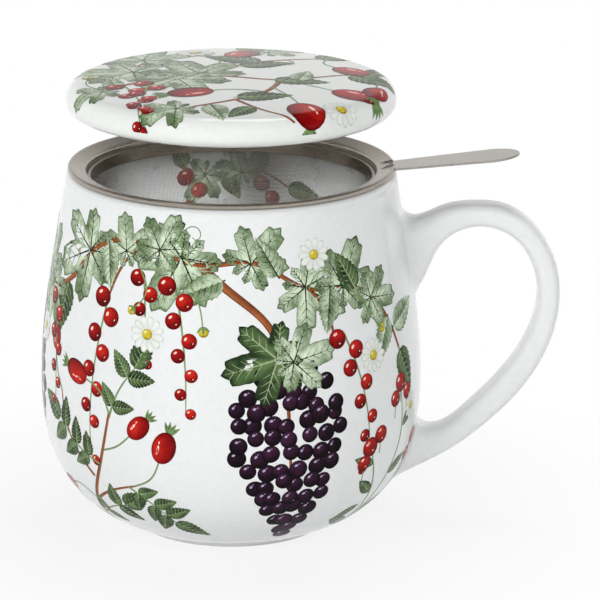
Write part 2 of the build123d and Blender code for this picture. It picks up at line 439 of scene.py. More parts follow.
CROWN_RADIUS, CROWN_MIDDLE, LID_BEND = lid_section()
CROWN_END = LID_BEND[0] * CROWN_RADIUS / (CROWN_RADIUS - LID_TOP_ROUNDING)
CROWN_LEAN = math.degrees(math.atan2(LID_BEND[1] - CROWN_MIDDLE, LID_BEND[0]))


def lid_top(radius):
    """Height of the lid's top at a radius: a low crown that runs into a full rounding."""
    radius = np.asarray(radius, float)
    crown = CROWN_MIDDLE + np.sqrt(CROWN_RADIUS**2 - radius**2)
    beyond = np.clip(radius - LID_BEND[0], 0, LID_TOP_ROUNDING)
    rounding = LID_BEND[1] + np.sqrt(LID_TOP_ROUNDING**2 - beyond**2)
    return np.where(radius < CROWN_END, crown, rounding)


def lid_disc(material):
    ring_outer, ring_inner, ring_depth = LID_RING
    ring_bottom = LID_BOTTOM - ring_depth
    hollow_top = LID_BOTTOM + LID_HOLLOW
    low, edge, foot, corner = LID_BOTTOM_ROUNDING, 0.45, 0.5, 0.6
    crown = np.linspace(CROWN_END, 0, 18)
    profile = joined(
        line((0, hollow_top), (ring_inner - corner, hollow_top), 8),
        arc((ring_inner - corner, hollow_top - corner), corner, 90, 0, 5),
        arc((ring_inner + edge, ring_bottom + edge), edge, 180, 270, 6),
        arc((ring_outer - edge, ring_bottom + edge), edge, 270, 360, 6),
        arc((ring_outer + foot, LID_BOTTOM - foot), foot, 180, 90, 5),
        line((ring_outer + foot, LID_BOTTOM), (LID_RADIUS - low, LID_BOTTOM), 4),
        arc((LID_RADIUS - low, LID_BOTTOM + low), low, 270, 360, 14),
        arc(LID_BEND, LID_TOP_ROUNDING, 0, CROWN_LEAN, 16),
        np.c_[crown, lid_top(crown)],
    )
    return spun("lid_disc", profile, material)


def pressed_ring(material):
    """The hem, the dished flange and the collar in one sheet."""
    slope = math.radians(FLANGE_SLOPE)
    fall = np.array([-math.cos(slope), -math.sin(slope)])
    out = np.array([-math.sin(slope), math.cos(slope)])
    centre = np.array(HEM_CENTRE)
    start = centre + out * HEM_RADIUS
    tangent = COLLAR_BEND * math.tan((math.pi / 2 - slope) / 2)
    bend_height = start[1] - (start[0] - COLLAR_RADIUS) * math.tan(slope) - tangent
    bend_centre = np.array([COLLAR_RADIUS + COLLAR_BEND, bend_height])
    bottom = HEM_TOP - math.tan(slope) * (HEM_CENTRE[0] - COLLAR_RADIUS) - COLLAR_DEPTH
    inner, half, tilt = COLLAR_BEND - SHEET, SHEET / 2, 90 + FLANGE_SLOPE
    back = COLLAR_RADIUS + SHEET
    hem_end = -180.6  # degrees, where the curl stops
    hem_gap = 0.68  # from the curl's middle to where the flange's underside starts
    profile = joined(
        arc(centre, HEM_RADIUS, tilt, hem_end, 24),
        line(centre + out * (HEM_RADIUS - SHEET) + fall * hem_gap, bend_centre + inner * out, 6),
        arc(bend_centre, inner, tilt, 180, 6),
        line((back, bend_height), (back, bottom + half), 6),
        arc((COLLAR_RADIUS + half, bottom + half), half, 0, -180, 7),
        line((COLLAR_RADIUS, bottom + half), (COLLAR_RADIUS, bend_height), 6),
        arc(bend_centre, COLLAR_BEND, 180, tilt, 8),
        line(bend_centre + COLLAR_BEND * out, start, 10),
    )[:-1]
    return spun("pressed_ring", profile[::-1], material, 256, closed=True)


def clamp_band(material):
    """The band inside the collar, with its top rolled out over the cloth's edge."""
    outer, thick, top, height = BAND
    reach, roll = BAND_LIP
    inner, edge = outer - thick, 0.18
    profile = joined(
        line((inner, top - edge), (inner, top - height + edge), 6),
        arc((inner + edge, top - height + edge), edge, 180, 270, 4),
        arc((outer - edge, top - height + edge), edge, 270, 360, 4),
        line((outer, top - height + edge), (outer, top - roll), 6),
        line((outer, top - roll), (reach - roll / 2, top - roll), 2),
        arc((reach - roll / 2, top - roll / 2), roll / 2, -90, 90, 7),
        arc((inner + edge, top - edge), edge, 90, 180, 4),
    )[:-1]
    return spun("clamp_band", profile, material, 256, closed=True)


TAB_LENGTH = 31.4
TAB_ROOT_WIDTH = 8.6
TAB_WIDTH = 12.2
TAB_TIP = 7.2
TAB_RISE = 6.0


def tab(material):
    """The lifting tongue: a flat sheet with softened edges, rooted in the hem."""
    start = HEM_CENTRE[0] - HEM_RADIUS / 2
    end = HEM_CENTRE[0] + TAB_LENGTH
    wide = end - TAB_TIP
    stations = np.r_[np.linspace(start, wide, 26)[:-1],
                     wide + TAB_TIP * np.sin(np.linspace(0, math.pi / 2, 26))]
    edge = 0.3
    share = np.r_[-1, -0.985, -0.94, np.linspace(-0.88, 0.88, 16), 0.94, 0.985, 1]
    rings = []
    for x in stations[:-1]:
        if x <= wide:
            half = TAB_ROOT_WIDTH / 2 + (TAB_WIDTH - TAB_ROOT_WIDTH) / 2 * (x - start) / (wide - start)
        else:
            half = TAB_WIDTH / 2 * math.sqrt(max(1 - ((x - wide) / TAB_TIP) ** 2, 0))
        y = share * half
        near = np.clip(np.minimum(half - np.abs(y), end - x) / edge, 0, 1)
        thick = SHEET / 2 * np.sqrt(np.clip(1 - (1 - near) ** 2, 0, 1))
        upper, lower = (np.c_[np.full(len(y), x), y, side * thick] for side in (1, -1))
        rings.append(np.vstack([upper, lower[::-1][1:-1]]))
    count, around = np.shape(rings)[:2]
    flat = np.vstack([*rings, [start, 0, 0], [end, 0, 0]])
    tilt = math.radians(TAB_RISE)
    run = flat[:, 0] - HEM_CENTRE[0]
    vertices = np.c_[HEM_CENTRE[0] + run * math.cos(tilt) - flat[:, 2] * math.sin(tilt), flat[:, 1],
                     HEM_CENTRE[1] + run * math.sin(tilt) + flat[:, 2] * math.cos(tilt)]
    first = count * around
    faces = grid_faces(count, around, ring=True, flip=True)
    faces += end_faces(around, (first, first + 1), (0, first - around), flip=True)
    return mesh_object("lifting_tab", vertices, faces, [material])


RIB_FROM_COLLAR = 0.9
RIB_PAST_HEM = 0.35
RIB_HEIGHT = 0.52
RIB_BREADTH = 0.7  # as a share of the height
RIB_APART = 2.9  # from the tab's middle line, at the collar
RIB_CLOSING = 1.2  # how much nearer they come on their way out


def ribs(material):
    """Two creases pressed into the flange that widen and run together towards the tab's root."""
    slope = math.radians(FLANGE_SLOPE)
    steps, around = 16, 12
    start, end = COLLAR_RADIUS + RIB_FROM_COLLAR, HEM_CENTRE[0] + RIB_PAST_HEM
    turn = round_turns(around)
    vertices, faces = [], []
    for side in (-1, 1):
        base = sum(len(ring) for ring in vertices)
        for t in np.arange(steps + 1) / steps:
            x = start + (end - start) * t
            z = HEM_TOP + 0.02 - max(HEM_CENTRE[0] - x, 0) * math.tan(slope)
            size = RIB_HEIGHT * max(t, 0.02) ** 0.6 * (1 - max(t - 0.86, 0) * 4)
            y = side * (RIB_APART - RIB_CLOSING * t)
            across, up = RIB_BREADTH * size * np.cos(turn), size * np.sin(turn)
            vertices.append(np.c_[np.full(around, x), y + across, z + up])
        faces += grid_faces(steps + 1, around, base, ring=True, flip=True)
        faces.append(tuple(base + j for j in range(around)))
        faces.append(tuple(base + steps * around + j for j in range(around))[::-1])
    return mesh_object("flange_ribs", np.vstack(vertices), faces, [material])


# ---------------------------------------------------------------- woven wire cloth

WIRE_PITCH = 0.53
WIRE_RADIUS = 0.066
CLOTH_TURN = 32.0  # degrees from the handle's plane to the first set of wires
DRAW_SHEAR = 0.6
DRAW_STRETCH = 0.3
CLOTH_EDGE = 0.9  # the cloth ends this far under its solid, below the top of the band
CLOTH_RISE = 0.25  # the middle of the cloth lies this far above the solid's underside


def cloth_meridian():
    """The cloth's line from the middle of its floor to its top edge: run, radius and height."""
    bottom, skirt = MESH_BOTTOM + CLOTH_RISE, MESH_TOP - MESH_SKIRT
    wall = np.array([MESH_MIDDLE - MESH_FLOOR, skirt - bottom])
    turn = math.acos(unit(wall)[0])
    flat_end = MESH_FLOOR - MESH_CORNER * math.tan(turn / 2)
    points = joined(
        np.array([[0, bottom]]),
        arc((flat_end, bottom + MESH_CORNER), MESH_CORNER, -90, -90 + math.degrees(turn), 60),
        np.array([[MESH_MIDDLE, skirt], [MESH_MIDDLE, MESH_TOP]]),
    )
    return lengths_along(points), points[:, 0], points[:, 1]


MERIDIAN = cloth_meridian()


def on_cloth(run, turn):
    radius, height = (np.interp(run, MERIDIAN[0], side) for side in MERIDIAN[1:])
    return np.stack([radius * np.cos(turn), radius * np.sin(turn), height], -1)


def cloth_directions(run, turn):
    """Unit vectors up the cloth and round it."""
    step = 1e-3
    above, below = run + step, run - step
    rise = [np.interp(above, MERIDIAN[0], side) - np.interp(below, MERIDIAN[0], side)
            for side in MERIDIAN[1:]]
    length = np.hypot(*rise) + 1e-12
    out, up = rise[0] / length, rise[1] / length
    along = np.stack([out * np.cos(turn), out * np.sin(turn), up], -1)
    round_it = np.stack([-np.sin(turn), np.cos(turn), 0 * turn], -1)
    return along, round_it


def drawn_net(pitch):
    """Crossings of a square net over a quarter of the cup, sheared and stretched between its two ways."""
    limit = MERIDIAN[0][-1]
    steps = np.arange(int(limit / pitch) + 2)
    i, j = np.meshgrid(steps, steps, indexing="ij")
    reach = pitch * np.hypot(i, j)
    angle = np.arctan2(j, i)
    drawn = np.clip((reach - MESH_FLOOR) / (limit - MESH_FLOOR), 0, 1)
    turn = angle + DRAW_SHEAR * drawn ** 0.5 * np.sin(4 * angle) / 4
    run = reach * (1 + DRAW_STRETCH * drawn * (1 - np.cos(4 * angle)) / 2)
    return run, turn


def wire_lines():
    """The wires of both sets as lists of points that pass over and under each other."""
    run, turn = drawn_net(WIRE_PITCH)
    inside = run <= MERIDIAN[0][-1] - CLOTH_EDGE
    place = on_cloth(run, turn)
    along, round_it = cloth_directions(run, turn)
    facing = np.cross(round_it, along)
    turned = np.array(Matrix.Rotation(math.radians(CLOTH_TURN), 3, "Z"))
    size = run.shape[0]
    sets = ([], [])
    for across in range(-size + 1, size):
        for which in (0, 1):
            points = []
            for step in range(-size + 1, size):
                x, y = (across, step) if which else (step, across)
                i, j = abs(x), abs(y)
                if not inside[i, j]:
                    continue
                signs = np.array([np.sign(x) or 1, np.sign(y) or 1, 1])
                lift = WIRE_RADIUS * (1 if (step + across + which) % 2 == 0 else -1)
                points.append(turned @ ((place[i, j] + facing[i, j] * lift) * signs))
            if len(points) > 2:
                sets[which].append(np.array(points))
    return sets


def feed(item, inputs):
    """Feeds a node's inputs with other nodes' outputs or with plain values."""
    for name, value in inputs.items():
        if isinstance(value, bpy.types.NodeSocket):
            item.id_data.links.new(value, item.inputs[name])
        else:
            item.inputs[name].default_value = value


def node(tree, kind, inputs=None, **settings):
    """A new node of a kind, with its settings and what feeds it."""
    item = tree.nodes.new(kind)
    for name, value in settings.items():
        setattr(item, name, value)
    feed(item, inputs or {})
    return item


def arranged(tree):
    """The tree with its nodes in columns, by how many links lead from each to the end."""
    column = {item.name: 0 for item in tree.nodes}
    for _ in tree.nodes:
        for link in tree.links:
            start, end = link.from_node.name, link.to_node.name
            column[start] = max(column[start], column[end] + 1)
    filled = {}
    for item in tree.nodes:
        place = column[item.name]
        item.location = (-220 * place, -260 * filled.get(place, 0))
        filled[place] = filled.get(place, 0) + 1
    return tree


def new_group(name, kind, inputs, outputs):
    """An empty node group with its named inputs and outputs, and the nodes that stand for them."""
    tree = bpy.data.node_groups.new(name, kind)
    for label, socket_type, value in inputs:
        socket = tree.interface.new_socket(label, in_out="INPUT", socket_type="NodeSocket" + socket_type)
        if value is not None:
            socket.default_value = value
    for label, socket_type in outputs:
        tree.interface.new_socket(label, in_out="OUTPUT", socket_type="NodeSocket" + socket_type)
    return tree, node(tree, "NodeGroupInput").outputs, node(tree, "NodeGroupOutput")


def painted(tree, given, result, geometry):
    """Ends a geometry tree: its instances made real, and its material set."""
    real = node(tree, "GeometryNodeRealizeInstances", {"Geometry": geometry})
    paint = node(tree, "GeometryNodeSetMaterial",
                 {"Geometry": real.outputs[0], "Material": given["Material"]})
    feed(result, {"Geometry": paint.outputs[0]})
    return arranged(tree)


def wire_tree():
    """Runs a round wire along every line of a mesh of edges."""
    tree, given, result = new_group("wires", "GeometryNodeTree", [
        ("Geometry", "Geometry", None),
        ("Wire Radius", "Float", WIRE_RADIUS * MM),
        ("Sides", "Int", 3),
        ("Material", "Material", None),
    ], [("Geometry", "Geometry")])
    lines = node(tree, "GeometryNodeMeshToCurve", {"Mesh": given["Geometry"]})
    section = node(tree, "GeometryNodeCurvePrimitiveCircle",
                   {"Resolution": given["Sides"], "Radius": given["Wire Radius"]})
    sweep = node(tree, "GeometryNodeCurveToMesh", {
        "Curve": lines.outputs["Curve"], "Profile Curve": section.outputs["Curve"], "Fill Caps": True})
    return painted(tree, given, result, sweep.outputs["Mesh"])


def grown(source, tree, name, **values):
    """The plain mesh that a tree makes of a source object, which is used up."""
    modifier = source.modifiers.new(tree.name, "NODES")
    modifier.node_group = tree
    for item in tree.interface.items_tree:
        label = item.name.replace(" ", "_").lower()
        if item.item_type == "SOCKET" and item.in_out == "INPUT" and label in values:
            modifier[item.identifier] = values[label]
    graph = bpy.context.evaluated_depsgraph_get()
    ready = source.evaluated_get(graph)
    mesh = bpy.data.meshes.new_from_object(ready, preserve_all_data_layers=True, depsgraph=graph)
    mesh.name = name
    source.modifiers.clear()
    old = source.data
    bpy.data.objects.remove(source)
    bpy.data.meshes.remove(old)
    return mesh


def woven_cloth(material):
    """The cloth in four pieces: both sets of wires, each in two halves."""
    tree = wire_tree()
    pieces = []
    for letter, wires in zip("ab", wire_lines()):
        middle = len(wires) // 2
        for half, some in enumerate((wires[:middle], wires[middle:]), 1):
            edges, base = [], 0
            for wire in some:
                edges.extend((base + k, base + k + 1) for k in range(len(wire) - 1))
                base += len(wire)
            mesh = bpy.data.meshes.new("wire_lines")
            mesh.from_pydata((np.vstack(some) * MM).tolist(), edges, [])
            name = f"cloth_wires_{letter}{half}"
            result = grown(linked("wire_lines", mesh), tree, name, material=material)
            result.polygons.foreach_set("use_smooth", [True] * len(result.polygons))
            pieces.append(linked(name, result))
    return pieces


# ---------------------------------------------------------------- flat motifs of the print

def ribbon(points, widths, level, shade, columns=(-1, 1)):
    """A flat strip along points: vertices (x, y, level), faces and shades."""
    points = np.asarray(points, float)
    along = np.gradient(points, axis=0)
    side = np.c_[-along[:, 1], along[:, 0]]
    side /= np.linalg.norm(side, axis=1)[:, None] + 1e-9
    columns = np.asarray(columns, float)
    spread = points[:, None] + side[:, None] * (np.asarray(widths)[:, None] * columns)[..., None]
    count, wide = spread.shape[:2]
    vertices = np.dstack([spread, np.full((count, wide), float(level))]).reshape(-1, 3)
    faces = [(i * wide + j + 1, i * wide + j, (i + 1) * wide + j, (i + 1) * wide + j + 1)
             for i in range(count - 1) for j in range(wide - 1)]
    shades = np.tile(np.broadcast_to(shade, (wide,)), count)
    return vertices, faces, shades


def merged(*patches):
    vertices, faces, shades, base = [], [], [], 0
    for points, some, tones in patches:
        vertices.append(points)
        shades.append(tones)
        faces.extend(tuple(k + base for k in face) for face in some)
        base += len(points)
    return np.vstack(vertices), faces, np.concatenate(shades)


def blade(x, y, shades):
    """A flat patch over a grid of points, under the veins."""
    vertices = np.dstack([x, y, np.zeros_like(x)]).reshape(-1, 3)
    return vertices, grid_faces(*x.shape, flip=True), shades.reshape(-1)


def leaf(teeth, depth, width, veins, vein_shade, fullness=0.62):
    """A leaf one unit long from its stalk end at the origin to its tip at x = 1, widest near its base."""
    t = np.linspace(0, 1, 2 * teeth + 1)
    tooth = np.arange(len(t)) % 2 == 0
    half = np.sin(math.pi * t ** fullness) ** 0.9 * width / 2
    half = np.maximum(half * np.where(tooth, 1.0, 1 - depth), 0.004)
    lean = np.where(tooth, 0.35, 0.0) * depth * width
    columns = np.array([-1, -0.9, -0.5, -0.06, 0.06, 0.5, 0.9, 1])
    tones = np.array([0.12, 0.42, 0.62, 0.72, 0.3, 0.46, 0.56, 0.12])
    x = np.minimum(t[:, None] + lean[:, None] * np.abs(columns), 1)
    along = 0.08 * np.sin(t * 9)[:, None]
    shades = np.clip(tones + along * (np.abs(columns) < 0.95), 0.05, 0.95)
    patches = [blade(x, half[:, None] * columns, shades),
               ribbon(line((-0.04, 0), (0.97, 0), 8), np.linspace(0.016, 0.003, 8), 1, vein_shade)]
    for k in range(veins):
        root = 0.1 + 0.74 * k / veins
        for side in (-1, 1):
            start = root + (0.03 if side > 0 else 0)
            reach = np.interp(start + 0.13, t, half)
            tip = (start + 0.16 + 0.04 * reach, side * reach * 0.86)
            run = [(start, 0), (start + 0.06, side * reach * 0.46), tip]
            patches.append(ribbon(run, (0.008, 0.006, 0.002), 1, vein_shade))
    return merged(*patches)


def lobed_leaf(lobes, vein_shade):
    """A broad leaf with pointed lobes round its stalk end at the origin."""
    turns = np.linspace(-math.pi + 0.14, math.pi - 0.14, 97)
    edge = np.full(len(turns), 0.18)
    for centre, reach, spread in lobes:
        across = np.clip((turns - centre) / spread, -1, 1)
        edge = np.maximum(edge, reach * np.cos(across * math.pi / 2) ** 0.55)
    edge = edge * np.array([1.05, 1.0, 0.95, 1.0])[np.arange(len(turns)) % 4]
    rings = np.array([0.02, 0.35, 0.7, 0.93, 1.0])[:, None]
    tones = np.array([0.75, 0.66, 0.5, 0.4, 0.1])[:, None]
    radius = rings * edge
    fold = 0.13 * np.sin(turns * 5 + 0.6)
    shades = np.clip(tones + fold * (rings < 0.99), 0.08, 0.92)
    patches = [blade(radius * np.cos(turns), radius * np.sin(turns), shades)]
    for centre, reach, spread in lobes:
        way = np.array([math.cos(centre), math.sin(centre)])
        side = np.array([-way[1], way[0]])
        vein = line((0, 0), way * reach * 0.95, 6)
        patches.append(ribbon(vein, np.linspace(0.016, 0.003, 6), 1, vein_shade))
        for share in (0.28, 0.46, 0.64, 0.8):
            for hand in (-1, 1):
                root = way * reach * share
                tip = root + (way * 0.8 + side * hand * 0.75) * reach * 0.24 * (1.15 - share * 0.5)
                run = [root, (root + tip) / 2 + way * 0.01, tip]
                patches.append(ribbon(run, (0.007, 0.005, 0.002), 1, vein_shade))
    return merged(*patches)


def oval(x, y, long, short, tilt):
    """A white light on a berry."""
    turn = round_turns(9)
    c, s = math.cos(math.radians(tilt)), math.sin(math.radians(tilt))
    a, b = long * np.cos(turn), short * np.sin(turn)
    vertices = np.c_[x + a * c - b * s, y + a * s + b * c, np.ones(len(turn))]
    return vertices, [tuple(range(len(turn)))], np.ones(len(turn))


def berry(spots, rim_shade=0.04, crown=0.0):
    """A round berry of radius 1 with painted lights and, if wanted, the dark star of its crown."""
    around = 22
    rings = np.array([0.3, 0.62, 0.88, 1.0])[:, None]
    x, y = rings * np.cos(round_turns(around)), rings * np.sin(round_turns(around))
    shades = 0.5 - 0.32 * (x * 0.55 - y * 0.8) - 0.3 * rings**3 + 0.2 * np.maximum(0, x * 0.7 - y * 0.7) ** 3
    shades = np.clip(shades, 0.1, 0.8)
    shades[-1] = rim_shade
    vertices = np.vstack([[0, 0, 0], np.c_[x.ravel(), y.ravel(), np.zeros(x.size)]])
    faces = [(0, 1 + j, 1 + (j + 1) % around) for j in range(around)]
    faces += grid_faces(len(rings), around, base=1, ring=True, flip=True)
    patches = [(vertices, faces, np.r_[0.5, shades.ravel()]), *(oval(*spot) for spot in spots)]
    if crown:
        middle = np.array([0.25, -0.45])
        for angle in np.radians(-60 + 72 * np.arange(5)):
            tip = middle + crown * np.array([math.cos(angle), math.sin(angle)])
            patches.append(ribbon([middle, tip], (0.1, 0.02), 1, 0.0))
    return merged(*patches)


def petal():
    t = np.linspace(0, 1, 9)[:, None]
    half = np.maximum(0.24 * np.sin(math.pi * t**1.3) ** 0.7 * (0.55 + 0.6 * t), 0.01)
    half[-1] = 0.09
    columns = np.array([-1, -0.86, 0, 0.86, 1])
    tones = np.array([0.1, 0.62, 0.85, 0.7, 0.1])
    shades = tones - 0.25 * (1 - t) * (np.abs(columns) < 0.95)
    shades[-1] = 0.15
    body = blade(np.repeat(t, len(columns), axis=1), half * columns, np.clip(shades, 0.05, 0.95))
    return merged(body, ribbon(line((0.1, 0), (0.75, 0), 3), (0.012, 0.01, 0.003), 1, 0.25))


def both_sides(front, *pairs):
    """Lobes by their turn, reach and spread: one in front, and a pair for each of the others."""
    return [front] + [(side * turn, reach, spread) for turn, reach, spread in pairs for side in (1, -1)]


VINE_LOBES = both_sides((0.0, 1.0, 0.62), (0.98, 0.86, 0.56), (1.95, 0.66, 0.6), (2.75, 0.46, 0.5))
CURRANT_LOBES = both_sides((0.0, 0.95, 0.7), (1.15, 0.8, 0.66), (2.3, 0.55, 0.7))
# A light's place on its berry, half its length and breadth, and its tilt in degrees.
BERRY_LIGHTS = [(-0.36, 0.4, 0.26, 0.15, 40), (0.36, -0.4, 0.12, 0.06, 40)]
GRAPE_LIGHTS = [(-0.32, 0.38, 0.2, 0.13, 35), (-0.05, 0.6, 0.08, 0.05, 10)]
HIP_LIGHTS = [(-0.25, 0.42, 0.3, 0.1, 8), (0.2, 0.5, 0.1, 0.05, 0)]

MOTIFS = {
    "vine_leaf": lobed_leaf(VINE_LOBES, 0.0),
    "currant_leaf": lobed_leaf(CURRANT_LOBES, 0.0),
    "vine_leaf_dark": lobed_leaf(VINE_LOBES, 1.0),
    "rose_leaf": leaf(9, 0.13, 0.56, 6, 0.0),
    "rose_leaf_dark": leaf(9, 0.13, 0.6, 6, 1.0),
    "long_leaf_dark": leaf(11, 0.06, 0.34, 7, 1.0, 0.8),
    "sepal": leaf(3, 0.03, 0.3, 0, 0.0, 0.7),
    "berry": berry(BERRY_LIGHTS),
    "currant": berry(BERRY_LIGHTS, crown=0.3),
    "grape": berry(GRAPE_LIGHTS, rim_shade=0.0),
    "hip": berry(HIP_LIGHTS),
    "petal": petal(),
}
BERRIES = ("berry", "currant", "grape", "hip")


STROKE_STEP = 0.9
STROKE_REACH = 0.4  # radius of the discs that a stroke keeps for itself in its layer


class Sheet:
    """A flat layout of motifs and strokes, in millimetres. What is laid later lies on top."""

    def __init__(self, seed):
        self.chance = np.random.default_rng(seed)
        self.motifs = {}
        self.lines = []
        self.laid = []

    def level_over(self, discs):
        """The lowest free layer over all discs that were laid before."""
        level = 0
        for x, y, radius in discs:
            for other_x, other_y, other_radius, other_level in self.laid:
                reach = radius + other_radius
                if abs(x - other_x) < reach and abs(y - other_y) < reach:
                    if math.hypot(x - other_x, y - other_y) < reach:
                        level = max(level, other_level + 1)
        self.laid.extend((x, y, radius, level) for x, y, radius in discs)
        return level

    def put(self, motif, ink, x, y, turn, length, width=None, tone=0.0):
        """A motif with its origin at x, y, turned by degrees; width is its scale across."""
        way = math.radians(turn)
        if motif in BERRIES:
            shares, reach = (0,), max(length, width or length)
        elif "vine" in motif or "currant" in motif:
            shares, reach = (0.22,), 0.8 * length
        else:
            shares, reach = (0.2, 0.5, 0.8), 0.24 * length
        discs = [(x + s * length * math.cos(way), y + s * length * math.sin(way), reach) for s in shares]
        level = self.level_over(discs)
        row = (x, y, way, length, width or length, tone + self.chance.uniform(-0.05, 0.05), level)
        self.motifs.setdefault((motif, ink), []).append(row)

    def leaves(self, motif, ink, rows, tone=0.0, broad=1.0):
        """One leaf for every row of x, y, turn and length."""
        for x, y, turn, length in rows:
            self.put(motif, ink, x, y, turn, length, length * broad, tone)

    def stroke(self, ink, points, start_width, end_width):
        """A stalk or twig through the points, narrowing from one width to the other."""
        points = np.asarray(points, float)
        length = lengths_along(points)[-1]
        count = max(int(length / STROKE_STEP), 6)
        path = smooth_path(points, count) if len(points) > 2 else line(*points, 6)
        level = self.level_over([(x, y, STROKE_REACH) for x, y in path[::2]])
        self.lines.append((ink, path, np.linspace(start_width, end_width, len(path)) / 2, level))
        return path


# ---------------------------------------------------------------- sprigs, made of motifs

def each(make, sheet, *rows):
    """Calls a sprig's function once for every row of its numbers."""
    for row in rows:
        make(sheet, *row)


def heading(turn):
    """Unit vectors along a turn in degrees, and to its left."""
    way = math.radians(turn)
    go = np.array([math.cos(way), math.sin(way)])
    return go, np.array([-go[1], go[0]])


def twig(sheet, points, start_width, end_width):
    sheet.stroke("twig", points, start_width, end_width)


def stalk_end(sheet, points, start_width, end_width):
    """Lays a green stalk and gives its end, its last direction and that direction's turn."""
    path = sheet.stroke("green", points, start_width, end_width)
    go = unit(path[-1] - path[-3])
    return path[-1], go, math.degrees(math.atan2(go[1], go[0]))


def raceme(sheet, x, y, lean, count, size):
    """A hanging string of berries, large at the top and small at its end."""
    length = count * size * 1.02
    way = math.radians(-90 + lean)
    bow = lean * 0.02
    spine = [(x + length * t * math.cos(way) + bow * length * t * (1 - t), y + length * t * math.sin(way))
             for t in np.linspace(0, 1, 6)]
    path = sheet.stroke("green", spine, 0.55, 0.25)
    for k, t in enumerate(np.linspace(0, 1, count)):
        at = path[int(t * (len(path) - 1))]
        side = 1 if k % 2 else -1
        radius = size * (0.62 - 0.26 * t)
        hung = at[0] + side * radius * 0.85, at[1] - radius * 0.4
        sheet.stroke("green", [at, hung], 0.3, 0.22)
        sheet.put("currant", "red", *hung, sheet.chance.uniform(-25, 25), radius, tone=0.08 * side)


def grape_bunch(sheet, x, y, lean, length, width, size):
    """A conical bunch. The berries at its edges are laid first and those in front last."""
    down, across = heading(-90 + lean)
    top = np.array([x, y])
    sheet.stroke("twig", [top - down * 5, top, top + down * length * 0.7], 1.1, 0.5)
    spots = []
    rows = int(length / (size * 0.78))
    for t in np.arange(rows) / (rows - 1):
        half = width / 2 * (math.sin(min(t * 2.6 + 0.45, math.pi / 2)) * (1 - t**1.7) + 0.07)
        many = max(int(round(2 * half / (size * 0.86))), 1)
        for k in range(many):
            off = (k - (many - 1) / 2) / many * 2 * half
            jitter = sheet.chance.uniform(-0.22, 0.22, 2) * size
            depth = abs(off) / (half + 1) + sheet.chance.uniform(-0.3, 0.3)
            at = top + down * (t * length + jitter[0]) + across * (off + jitter[1])
            spots.append((depth, at, sheet.chance.uniform(0.44, 0.53) * size))
    for depth, at, radius in sorted(spots, key=lambda spot: -spot[0]):
        sheet.put("grape", "plum", *at, sheet.chance.uniform(-20, 20), radius, tone=0.1 - 0.22 * depth)


def rose_spray(sheet, x, y, turn, length, pairs, size):
    """A stalk with leaflets in pairs and one at its end."""
    go, side = heading(turn)
    root = np.array([x, y])
    spine = [root, root + go * length * 0.5 + side * length * 0.06, root + go * length]
    path = sheet.stroke("green", spine, 0.6, 0.35)
    for k in range(pairs):
        at = path[int((0.25 + 0.6 * k / max(pairs - 1, 1)) * (len(path) - 1))]
        grow = size * (0.8 + 0.25 * k / pairs)
        for hand in (-1, 1):
            sheet.put("rose_leaf_dark", "leaf_dark", *at, turn + hand * (58 + 4 * k), grow, tone=0.07 * hand)
    sheet.put("rose_leaf_dark", "leaf_dark", *path[-1], turn + 4, size * 1.25, tone=0.04)


def rose_hip(sheet, points, radius):
    """A stalk that ends in a hip with its dry sepals."""
    end, go, turn = stalk_end(sheet, points, 0.5, 0.4)
    centre = end + go * radius * 1.15
    tip = centre + go * radius * 1.15
    for spread in (-38, -14, 12, 36):
        sheet.put("sepal", "green", *tip, turn + spread, radius * 1.05, tone=-0.1)
    sheet.put("hip", "red", *centre, turn, radius * 1.3, radius * 0.92)


def daisy(sheet, x, y, size, petals=12):
    start = sheet.chance.uniform(0, 30)
    for k in range(petals):
        sheet.put("petal", "petal", x, y, start + 360 * k / petals, size)
    sheet.put("berry", "yellow", x, y, 0, size * 0.3)


def bud(sheet, points, size):
    end, go, turn = stalk_end(sheet, points, 0.45, 0.3)
    sheet.put("berry", "yellow", *(end + go * size), 0, size)
    for spread in (-50, 0, 50):
        sheet.put("sepal", "green", *end, turn + spread, size * 1.7)


def tendril(sheet, x, y, turn, size, hand=1):
    """A fine curl that winds up at its end."""
    points = []
    at, way = np.array([x, y], float), math.radians(turn)
    for k in range(15):
        points.append(at)
        way += hand * (0.1 + 0.055 * k)
        at = at + size * 0.17 * (1 - k * 0.045) * np.array([math.cos(way), math.sin(way)])
    sheet.stroke("green", points, 0.38, 0.2)


# ---------------------------------------------------------------- the print's layout

